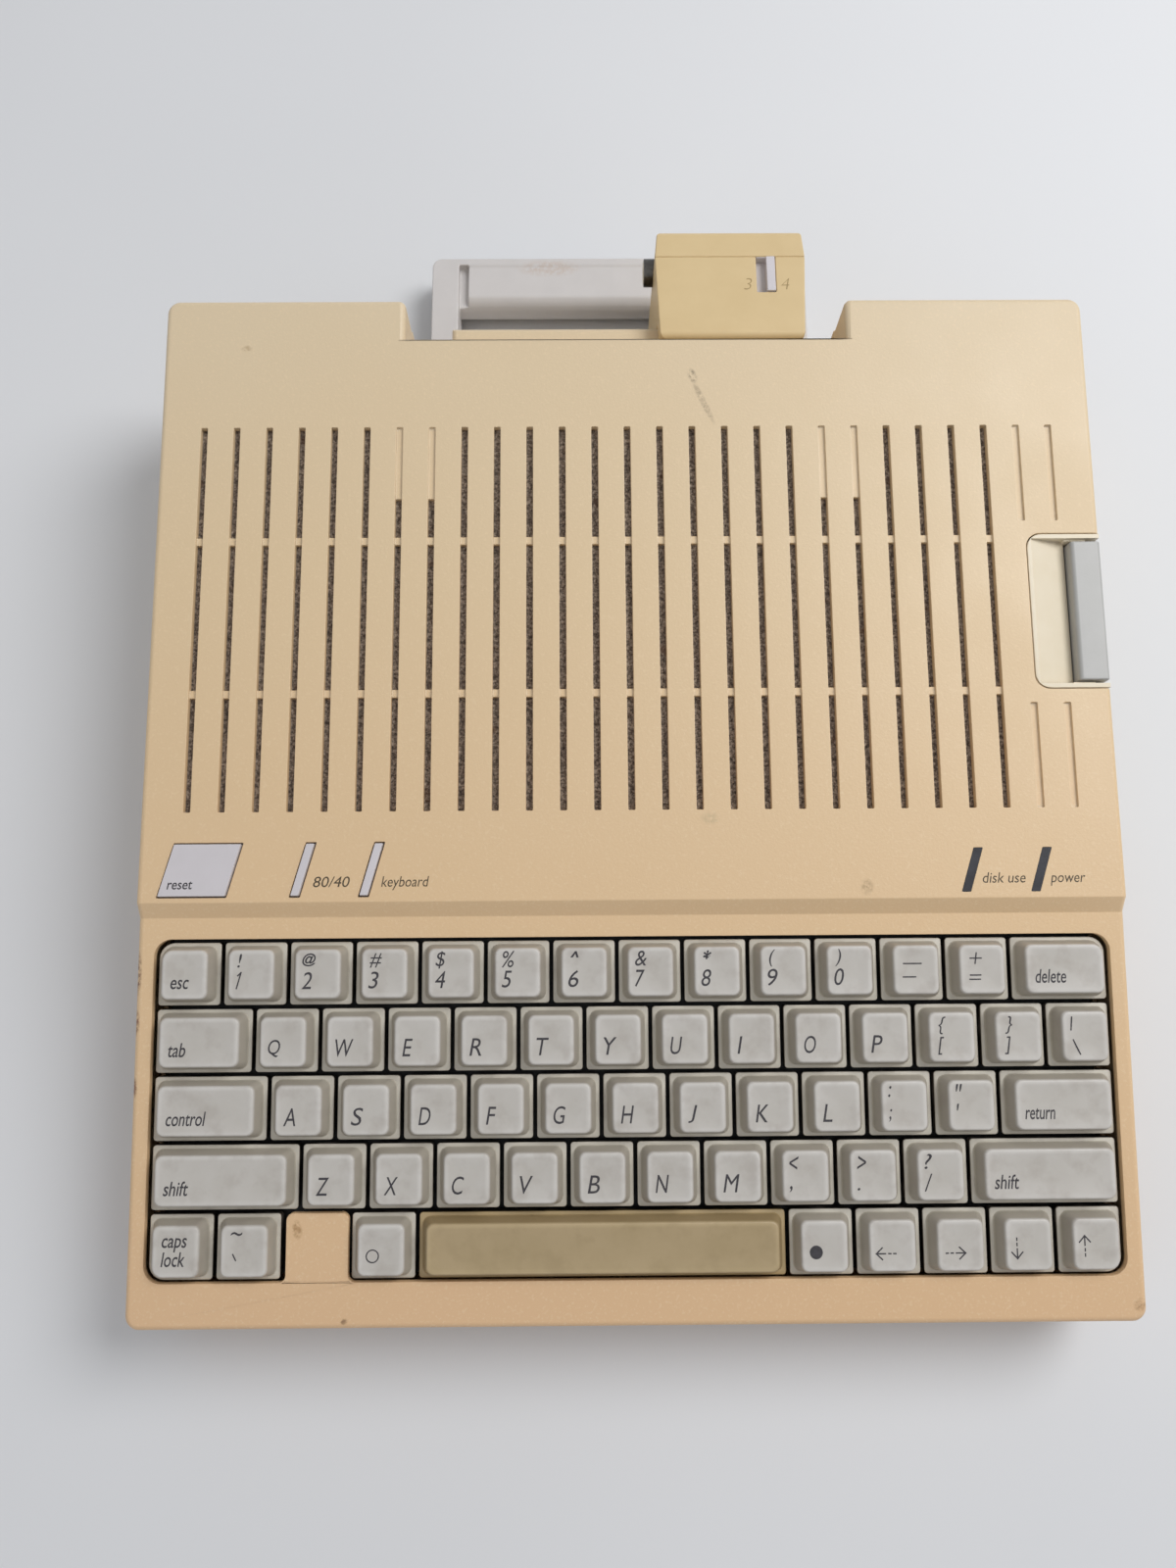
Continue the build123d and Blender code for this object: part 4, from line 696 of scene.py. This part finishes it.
def flat_text(words, weight):
    """Flat italic letters of the built-in font, as a mesh; a positive weight thickens them."""
    object_mode()
    bpy.ops.object.text_add()
    text = bpy.context.object
    text.data.body = words
    text.data.shear = letter_slant
    text.data.offset = weight
    text.data.resolution_u = 4
    only(text)
    bpy.ops.object.convert(target="MESH")
    return text


def span(text):
    """The left, bottom, right and top of a flat mesh."""
    xs = [v.co.x for v in text.data.vertices]
    ys = [v.co.y for v in text.data.vertices]
    return min(xs), min(ys), max(xs), max(ys)


def lettering(words, height, width, weight):
    """Italic letters that stand on the X axis, so tall in the capitals, and reach so far across."""
    text = flat_text(words, weight)
    size = height / capital_share * MM
    left, _, right, _ = span(text)
    text.data.transform(Matrix.Diagonal((width * MM / (right - left), size, size, 1)))
    return text


def glyph(words, left, foot, width, height, weight):
    """Italic letters that fill a box of this size above and right of a point."""
    text = flat_text(words, weight)
    x0, y0, x1, y1 = span(text)
    scale = Matrix.Diagonal((width * MM / (x1 - x0), height * MM / (y1 - y0), 1, 1))
    return placed(text, shift(left, foot, 0) @ scale @ Matrix.Translation((-x0, -y0, 0)))


def capital_height():
    """The share of its size that the built-in font gives a capital letter."""
    object_mode()
    bpy.ops.object.text_add()
    text = bpy.context.object
    text.data.body = "H"
    bpy.context.view_layer.update()
    share = text.dimensions.y
    bpy.data.objects.remove(text)
    return share


capital_share = capital_height()


def stroke(start, end):
    """A thin flat bar between two points, for arrows and lines."""
    start, end = Vector((*start, 0)), Vector((*end, 0))
    along = end - start
    object_mode()
    bpy.ops.mesh.primitive_plane_add(size=1)
    bar = started("stroke")
    turn = Matrix.Rotation(atan2(along.y, along.x), 4, "Z")
    bar.data.transform(Matrix.Diagonal(((along.length + stroke_width) * MM, stroke_width * MM, 1, 1)))
    return placed(bar, shift(*((start + end) / 2)) @ turn)


def arrow(way):
    """A plain arrow with a dashed tail, about its own middle."""
    parts = [stroke((-3.0, 0), end) for end in ((-1.3, 1.55), (-1.3, -1.55), (-0.4, 0))]
    parts += [stroke((x, 0), (x + 0.6, 0)) for x in (0.5, 1.9)]
    turns = {"left": 0, "right": pi, "down": pi / 2, "up": -pi / 2}
    return placed(joined("arrow", parts), Matrix.Rotation(turns[way], 4, "Z"))


def disc(radius, hole=0.0):
    """A flat disc, or a ring if it has a hole."""
    object_mode()
    bpy.ops.mesh.primitive_circle_add(vertices=40, radius=radius * MM, fill_type="NGON")
    plate = started("disc")
    if hole:
        choose(plate, "FACE", lambda place, normal: True)
        bpy.ops.mesh.inset(thickness=(radius - hole) * MM)
        bpy.ops.mesh.delete(type="FACE")
        object_mode()
    return plate


# How wide each word on a key is, how tall its capitals are, where it starts from the front left corner
# of the cap's top, and how far apart its lines are.
word_widths = {
    "esc": 5.2, "tab": 4.9, "control": 11.2, "shift": 7.0, "caps": 7.0, "lock": 6.6, "delete": 8.9,
    "return": 8.6,
}
word_height = 3.8
word_left = 2.2
word_foot = 2.9
word_line = 5.1
word_weight = 0.008
# The left, the foot, the width and the height of what is printed on a cap, from the front left
# corner of its top.
letter_box = (2.2, 2.6, 3.4, 4.9)
digit_box = (1.8, 2.6, 2.9, 4.8)
shifted_box = (2.2, 8.5, 3.0, 4.3)
letter_widths = {
    "E": 2.9, "F": 2.9, "I": 1.5, "J": 2.6, "L": 2.7, "M": 4.6, "N": 3.8, "W": 5.1, "X": 3.9, "Y": 3.8,
    "K": 3.7, "H": 3.7, "Z": 3.7, "V": 3.7, "T": 3.5,
}
mark_boxes = {
    "!": (2.4, 8.8, 1.3, 3.9), "@": (1.9, 9.0, 3.8, 3.7), "#": (2.1, 8.5, 3.5, 4.1),
    "$": (1.9, 8.1, 2.8, 4.9), "%": (1.8, 8.3, 3.7, 4.7), "^": (2.4, 11.0, 2.4, 1.8),
    "&": (1.9, 8.5, 3.4, 4.3), "*": (2.4, 10.2, 2.4, 2.6), "(": (2.3, 8.0, 1.8, 4.9),
    ")": (2.2, 8.0, 1.8, 4.9), "[": (2.2, 1.9, 1.9, 5.0), "]": (2.2, 1.9, 1.9, 5.0),
    "{": (2.6, 7.6, 2.1, 5.0), "}": (2.6, 7.6, 2.1, 5.0), ":": (1.8, 9.3, 1.0, 3.1),
    ";": (1.8, 2.5, 1.0, 3.5), "\"": (2.0, 10.7, 1.8, 2.1), "'": (2.1, 5.4, 0.7, 1.9),
    "<": (1.8, 8.6, 2.7, 3.7), ">": (1.8, 8.6, 2.7, 3.7), ",": (1.7, 2.5, 0.9, 1.7),
    ".": (1.8, 2.8, 0.8, 0.7), "?": (1.8, 8.5, 2.2, 4.2), "/": (1.6, 2.4, 2.4, 4.8),
    "~": (2.6, 11.0, 3.3, 1.1),
}
# Signs that the font draws too fine at this size, and the weight that mends it.
fine_signs = "@*^"
fine_sign_weight = 0.02
# Signs that are drawn as bars: the ends of each bar.
bar_marks = {
    "1": [((2.3, 2.9), (3.5, 7.4)), ((3.4, 7.3), (2.6, 6.5))],
    "-": [((2.6, 4.8), (6.2, 4.8))], "_": [((2.8, 8.6), (7.9, 8.6))],
    "=": [((2.7, 4.0), (5.7, 4.0)), ((2.9, 5.2), (5.9, 5.2))],
    "+": [((3.0, 10.0), (6.2, 10.0)), ((4.4, 8.5), (4.8, 11.5))],
    "\\": [((2.9, 5.8), (4.7, 1.8))], "|": [((2.4, 8.6), (2.7, 12.2))], "`": [((3.3, 6.0), (4.1, 4.4))],
}
# The middle of each drawn sign, from the front left corner of a cap's top.
sign_middles = {
    "left": (4.7, 4.7), "right": (4.7, 4.7), "down": (3.1, 6.1), "up": (3.1, 6.1),
    "ring": (4.0, 5.2), "disc": (4.0, 5.2),
}
sign_radius = 1.85
sign_hole = 1.5


def mark(sign, shifted):
    """One printed sign, from the front left corner of a cap's top."""
    if sign in bar_marks:
        return joined("bars", [stroke(*ends) for ends in bar_marks[sign]])
    left, foot, width, height = mark_boxes.get(sign, shifted_box if shifted else digit_box)
    if sign.isalpha():
        left, foot, width, height = letter_box
        width = letter_widths.get(sign, width)
    return glyph(sign, left, foot, width, height, fine_sign_weight if sign in fine_signs else 0.0)


def drawn_sign(name):
    """A sign without a letter, about its own middle."""
    if name == "ring":
        return disc(sign_radius, sign_hole)
    return disc(sign_radius) if name == "disc" else arrow(name)


def key_print(words, width):
    """What is printed on one key, about the key's middle at the height of its top."""
    left = -(width * key_pitch - key_gap) / 2 + cap_ledge + cap_side_slope
    front = -(key_pitch - key_gap) / 2 + cap_ledge + cap_back_slope
    if isinstance(words, tuple):
        prints = [mark(sign, shifted) for shifted, sign in enumerate(words) if sign]
    elif words in sign_middles:
        prints = [placed(drawn_sign(words), shift(*sign_middles[words], 0))]
    else:
        prints = [
            placed(lettering(line, word_height, word_widths[line], word_weight),
                   shift(word_left, word_foot + word_line * above, 0))
            for above, line in enumerate(reversed(words.split()))
        ]
    return [placed(flat, shift(left, front, 0)) for flat in prints]


def laid_on(prints, cap):
    """Drops flat prints from above onto the dished top of their caps."""
    placed(prints, shift(0, 0, 3))
    modified(prints, "TRIANGULATE")
    return modified(prints, "SHRINKWRAP", target=cap, wrap_method="PROJECT", use_project_z=True,
                    use_negative_direction=True, use_positive_direction=False,
                    offset=print_thickness * MM, wrap_mode="ABOVE_SURFACE")


def keyboard():
    """Every key in place with its print, from one mould for each width and outer corner."""
    moulds = {}
    for name, (row, left, widths, words) in key_groups.items():
        caps, prints = [], []
        for width, print_words in zip(widths, words):
            mould = (width, outer_corners.get(name))
            if mould not in moulds:
                moulds[mould] = key_cap(*mould)
            middle = shift((left + width / 2) * key_pitch, (row + 0.5) * key_pitch, 0)
            caps.append(placed(duplicate(moulds[mould]), middle))
            for flat in key_print(print_words, width):
                prints.append(placed(flat, middle @ shift(0, 0, cap_height)))
            left += width
        slot = slot_of_node[name]
        caps = joined(name + "_caps", caps)
        if prints:
            prints = laid_on(joined(name + "_legends", prints), caps)
            dressed(placed(prints, keys_place), legend_ink, name, slot)
        dressed(placed(caps, keys_place), materials[slot], name, slot, name)
    for mould in moulds.values():
        bpy.data.objects.remove(mould)


# ------------------------------------------------------------ labels on the deck
# The names of the controls, with their left ends and widths along the deck.
control_names = {
    "80/40": (-92.8, 10.6), "keyboard": (-73.0, 13.8), "disk use": (101.2, 12.5), "power": (121.2, 10.2),
}
control_foot = 4.3
control_height = 3.0
reset_place = (-134.6, 3.9, 0.8 + print_thickness)
reset_size = (2.8, 7.4)


def deck_labels():
    """Generic names of the controls, printed on the case and on the reset button."""
    prints = []
    for words, (x, width) in control_names.items():
        flat = lettering(words, control_height, width, 0.0)
        prints.append(placed(flat, deck_place @ shift(x, control_foot, print_thickness)))
    dressed(joined("control_labels", prints), label_ink, "computer", "aged_case_plastic")
    word = placed(lettering("reset", *reset_size, word_weight), deck_place @ shift(*reset_place))
    word.name = "reset_label"
    dressed(word, legend_ink, "reset", "button_plastic")


# ------------------------------------------------------------ sockets at the back
port_z = 24.0
# Each D-shaped socket: its X, its width and the contacts in its two rows.
d_sockets = {
    "joystick_socket": (116.617, 16.9, (5, 4)),
    "video_expansion_socket": (31.517, 25.3, (8, 7)),
    "disk_drive_socket": (-28.767, 30.8, (10, 9)),
}
pin_pitch = 2.77
pin_row_gap = 2.84
pin_radius = 0.75
panel_recess = 0.3
d_rim = 0.6
d_recess = 4.5
d_taper = 1.3
d_corner = 1.4
block_gap = 0.25
block_half_height = 3.2
block_recess = 0.6
# Each round socket: its X and its number of contacts, which lie on an arc.
round_sockets = {"modem_socket": (87.583, 5), "printer_socket": (-84.075, 5), "power_socket": (-105.3, 7)}
arc_radius = 4.0
arc_middle = 1.0
round_pin_radius = 0.8
disc_recess = 1.75
# The ivory rings in the video socket and in the modulator's jack: radius, rim, height and hollow.
video_ring = (3.4, 1.7, 1.6, 1.5)
aerial_ring = (3.5, 1.9, 1.4, 1.3)
# The rocker: its X, how far it is tipped about an axis at this depth, how far its two faces rise from
# the middle, and where its marks stand from the middle.
rocker_x = -125.475
rocker_tip = radians(-8.0)
rocker_axis = 5.0
rocker_lean = atan2(1.4, 8.2)
rocker_mark_y = 5.2
rocker_mark_z = 0.75


def facing_back(x, y, z):
    """The frame of a panel that faces back: its X runs to the left, its Y up, its Z out of the case."""
    turned = Matrix(((-1, 0, 0, 0), (0, 0, 1, 0), (0, 1, 0, 0), (0, 0, 0, 1)))
    return Matrix.Translation(case_point(x, y, z)) @ turned


def facing_left(x, y, z):
    return Matrix.Translation(case_point(x, y, z)) @ Matrix.Rotation(-pi / 2, 4, "Y")


def cup(name, radius, rim, height, sunk, sides=32):
    """A round collar that stands on its back end with its mouth at zero height."""
    object_mode()
    bpy.ops.mesh.primitive_cylinder_add(
        vertices=sides, radius=radius * MM, depth=height * MM, location=(0, 0, -height / 2 * MM))
    collar = started(name)
    choose(collar, "FACE", faces_up)
    bpy.ops.mesh.inset(thickness=rim * MM)
    bpy.ops.mesh.extrude_region_move(TRANSFORM_OT_translate={"value": (0, 0, -sunk * MM)})
    object_mode()
    return smooth(collar, 40.0)


def pin_sleeves(name, places, radius):
    """Round contact sleeves at several places in a plane, copied from one."""
    mould = cup(name, radius, radius * 0.35, 1.4, 1.2, 12)
    sleeves = [placed(duplicate(mould), shift(x, y, 0)) for x, y in places]
    bpy.data.objects.remove(mould)
    return joined(name, sleeves)


def d_socket_front(node, x, width, rows):
    """The plated shell with its black contact block and its two rows of contact sleeves."""
    front = case_depth - panel_recess
    front_y = front - half_depth - 0.05
    softened(node, "computer", 0.15, sink=(
        lambda place, normal: normal.y > 0.99 and place.y > front_y, d_rim, (0, -d_recess, 0)))
    half = width / 2 - d_rim - block_gap
    insert = block(node + "_contact_block", (-half, -block_half_height, -d_recess),
                   (half, block_half_height, -block_recess))
    choose(insert, "FACE", lambda place, normal: normal.y < -along_axis)
    bpy.ops.transform.resize(value=((half - d_taper) / half, 1, 1))
    choose(insert, "EDGE", upright)
    bpy.ops.mesh.bevel(offset=d_corner * MM, segments=4)
    object_mode()
    placed(smooth(insert), facing_back(x, front, port_z))
    dressed(insert, materials["black_plastic"], "computer", "steel")
    places = []
    for row, count in enumerate(rows):
        y = (0.5 - row) * pin_row_gap
        places += [((i - (count - 1) / 2) * pin_pitch, y) for i in range(count)]
    pins = pin_sleeves(node + "_contacts", places, pin_radius)
    dressed(placed(pins, facing_back(x, front - 0.5, port_z)), brass, "computer", "steel")


def round_socket_front(name, x, count):
    """The shell ring of a round socket, its black disc and an arc of contact sleeves."""
    turns = [pi * i / (count - 1) for i in range(count)]
    places = [(arc_radius * cos(turn), arc_middle - arc_radius * sin(turn)) for turn in turns]
    for piece, y, material in (
        (cup(name + "_shell", 6.75, 0.5, 6.4, 1.6, 40), case_depth - 0.4, materials["nickel"]),
        (cup(name + "_disc", 6.2, 1.2, 0.6, 0.15, 40), case_depth - disc_recess, materials["black_plastic"]),
        (pin_sleeves(name + "_contacts", places, round_pin_radius), case_depth - disc_recess, brass),
    ):
        dressed(placed(piece, facing_back(x, y, port_z)), material, "computer", "black_plastic")


def rocker_marks():
    """The plain marks for on and off, painted on the two ends of the rocker."""
    tipped = shift(0, 0, -rocker_axis) @ Matrix.Rotation(rocker_tip, 4, "X") @ shift(0, 0, rocker_axis)
    place = facing_back(rocker_x, case_depth, port_z) @ tipped
    marks = []
    for painted, side in ((disc(1.5, 1.2), -1), (stroke((0, -1.2), (0, 1.2)), 1)):
        end = shift(0, side * rocker_mark_y, rocker_mark_z) @ Matrix.Rotation(side * rocker_lean, 4, "X")
        marks.append(placed(painted, place @ end))
    dressed(joined("rocker_marks", marks), mark_ink, "rocker", "black_plastic")


def rear_details():
    for name, socket in d_sockets.items():
        d_socket_front(name, *socket)
    for name, socket in round_sockets.items():
        round_socket_front(name, *socket)
    ring = placed(cup("video_insulator", *video_ring), facing_back(2.467, 312.2, port_z))
    dressed(ring, insulator, "computer", "nickel")
    ring = placed(cup("aerial_insulator", *aerial_ring), facing_left(7.0, 329.0, 44.2))
    dressed(ring, insulator, "computer", "nickel")
    rocker_marks()


# ------------------------------------------------------------ modulator, wheel and handle
# The channel numbers and the X of each, on the modulator's top.
channel_numbers = {"3": 38.6, "4": 50.6}
modulator_top = 57.0
number_front = 313.4
number_size = (2.6, 4.1)
number_weight = -0.02
# The pale carrier of the channel slider, in case millimetres, and the thickness of its upright end.
carrier_left, carrier_right = 42.9, 48.9
carrier_front, carrier_back = 312.7, 325.5
carrier_foot, carrier_top, carrier_end_top = 54.02, 54.12, 56.7
carrier_end = 0.2

wheel_middle = (-132.1, 62.0, 14.5)
wheel_radius = 10.5
wheel_thickness = 3.2
wheel_edges = 96
# How far in, as a share of the radius, every second edge of the rim stands to make the grooves.
knurl_share = 0.955
wheel_pin = (1.5, 8.0)

# The upper edge of the low step along the handle's grip, and how far it is laid back.
grip_lip_y, grip_lip_z = 353.6, 14.9
grip_lip_lean = (0, 0.6, 0)


def modulator_marks():
    """Plain channel numbers printed flat beside the slider, and the slider's pale carrier in its slot."""
    numbers = []
    for sign, x in channel_numbers.items():
        flat = glyph(sign, 0, 0, *number_size, number_weight)
        numbers.append(placed(flat, sloping_place(x, number_front, modulator_top + print_thickness, 0)))
    # The darker numbers are painted shade of the engraving, with dirt in it.
    dressed(joined("channel_numbers", numbers), engraving, "computer", "modulator_plastic")
    front, back = carrier_front - half_depth, carrier_back - half_depth
    carrier = block("slider_carrier", (carrier_left, front, carrier_foot), (carrier_right, back, carrier_top))
    choose(carrier, "FACE", faces_up)
    bpy.ops.mesh.inset(thickness=0.15 * MM)
    choose(carrier, "FACE", lambda place, normal: normal.y > along_axis)
    bpy.ops.mesh.extrude_region_move(TRANSFORM_OT_translate={"value": (0, 0.05 * MM, 0)})
    object_mode()
    end = block("slider_carrier_end", (carrier_left, back - carrier_end, carrier_top - 0.02),
                (carrier_right, back, carrier_end_top))
    carrier = joined("slider_carrier", [carrier, end])
    dressed(carrier, materials["button_plastic"], "computer", "modulator_plastic")


def knurled_wheel():
    """The volume wheel: a disc with fine grooves round its rim, on its pin."""
    object_mode()
    bpy.ops.mesh.primitive_cylinder_add(
        vertices=wheel_edges, radius=wheel_radius * MM, depth=wheel_thickness * MM)
    wheel = started("volume_wheel_knurled")
    choose(wheel, "EDGE", lambda place, direction: abs(direction.z) > along_axis
           and round(atan2(place.y, place.x) / (2 * pi) * wheel_edges) % 2 == 0)
    bpy.ops.transform.resize(value=(knurl_share, knurl_share, 1))
    choose(wheel, "FACE", faces_up)
    bpy.ops.mesh.inset(thickness=2.2 * MM)
    bpy.ops.mesh.inset(thickness=0.3 * MM, depth=-0.5 * MM)
    object_mode()
    radius, length = wheel_pin
    bpy.ops.mesh.primitive_cylinder_add(
        vertices=24, radius=radius * MM, depth=length * MM, location=(0, 0, -length / 2 * MM))
    whole = joined("volume_wheel_knurled", [wheel, started("wheel_pin")])
    place = Matrix.Translation(case_point(*wheel_middle))
    dressed(smooth(placed(whole, place), 30.0), materials["black_plastic"], "volume", "black_plastic",
            "volume_wheel")


def on_grip_lip(place, direction):
    return (abs(place.y + half_depth - grip_lip_y) < 0.05 and place.z > grip_lip_z
            and abs(direction.x) > along_axis)


keyboard()
deck_labels()
rear_details()
modulator_marks()
knurled_wheel()
softened("top_case", "computer", 0.25, pierced=True)
softened("bottom_case", "computer", 0.35, pierced=True)
softened("carry_handle", "handle", 0.5, 3, lean=(on_grip_lip, grip_lip_lean))
softened("drive_bezel", "computer", 0.18, pierced=True)
softened("drive_latch", "latch", 0.5, 3)
softened("modulator_case", "computer", 0.4, 3)
softened("modulator_cover", "computer", 0.4, 3)
softened("modulator_jack", "computer", 0.25, material=dark_nickel)
softened("video_socket", "computer", 0.2)
softened("power_rocker", "rocker", 0.3)
softened("power_switch_frame", "computer", 0.2)
softened("rubber_feet", "computer", 0.8, 3)
softened("case_screws", "computer", 0.3)
softened("reset_button", "reset", 0.3)
softened("column_switch", "column_switch_button", 0.3)
softened("layout_switch", "layout_switch_button", 0.3)
softened("channel_switch", "channel_slider", 0.25)


# ------------------------------------------------------------ studio
backdrop = "#E6E7EA"
floor_size = 12
# The distances in metres between which the floor fades into the backdrop.
fade_start, fade_end = 0.5, 1.4
lamp_aim = (0, 0, 0.03)
# Each lamp: its size, its power and its place.
lamps = {
    "window_light": (0.8, 11.4, (0.74, 0.42, 1.08)),
    "room_fill": (1.6, 2.5, (-0.9, -0.7, 1.3)),
}
ambient_colour = "#F4F6FA"
ambient_strength = 0.42
sensor_width = 36.0
lens_length = 27.0
eye_place = (-0.01514, -0.10551, 0.38864)
eye_turn = (radians(13.15), radians(-0.30), radians(-0.43))


def studio_floor():
    """A plain pale sheet of satin laminate under the object, that fades into the backdrop."""
    object_mode()
    bpy.ops.mesh.primitive_plane_add(size=floor_size)
    floor = started("studio_floor")
    material = new_material("pale_floor")
    place = object_place(material)
    colour = ramp(material, noise(material, place, 300.0), [(0.3, "#DDDEE0"), (0.7, "#E2E3E5")])
    surface = add(material, "ShaderNodeBsdfPrincipled", {"Roughness": 0.6, "Base Color": colour})
    glow = add(material, "ShaderNodeEmission", {"Color": linear(backdrop), "Strength": 1.0})
    fade = mask(material, distance(material, place), fade_start, fade_end)
    blend = add(material, "ShaderNodeMixShader", {0: fade, 1: surface.outputs[0], 2: glow.outputs[0]})
    add(material, "ShaderNodeOutputMaterial", {"Surface": blend.outputs[0]})
    floor.data.materials.append(material)


def studio_lights():
    """Area lamps that look at the object."""
    for name, (size, power, place) in lamps.items():
        data = bpy.data.lights.new(name, "AREA")
        data.shape = "DISK"
        data.size = size
        data.energy = power
        light = bpy.data.objects.new(name, data)
        bpy.context.collection.objects.link(light)
        light.location = place
        light.rotation_euler = (Vector(lamp_aim) - Vector(place)).to_track_quat("-Z", "Y").to_euler()


def studio_world():
    """Soft light from all sides; the camera and mirroring surfaces see the plain backdrop."""
    world = bpy.data.worlds.new("studio")
    bpy.context.scene.world = world
    world.use_nodes = True
    world.node_tree.nodes.clear()
    ambient, seen = (
        add(world, "ShaderNodeBackground", {"Color": linear(colour), "Strength": strength})
        for colour, strength in ((ambient_colour, ambient_strength), (backdrop, 1.0)))
    rays = add(world, "ShaderNodeLightPath").outputs
    share = rays["Is Camera Ray"]
    for kind in ("Is Glossy Ray", "Is Transmission Ray"):
        share = add(world, "ShaderNodeMath", {0: share, 1: rays[kind]}, operation="MAXIMUM").outputs[0]
    blend = add(world, "ShaderNodeMixShader", {0: share, 1: ambient.outputs[0], 2: seen.outputs[0]})
    add(world, "ShaderNodeOutputWorld", {"Surface": blend.outputs[0]})


def camera():
    """Looks down on the keyboard from just in front of the middle, leaning back by 13 degrees."""
    data = bpy.data.cameras.new("camera")
    data.sensor_width = sensor_width
    data.lens = lens_length
    eye = bpy.data.objects.new("camera", data)
    bpy.context.collection.objects.link(eye)
    eye.location = eye_place
    eye.rotation_euler = eye_turn
    bpy.context.scene.camera = eye


studio_floor()
studio_lights()
studio_world()
camera()
bpy.context.scene.view_settings.view_transform = "Standard"

object_mode()
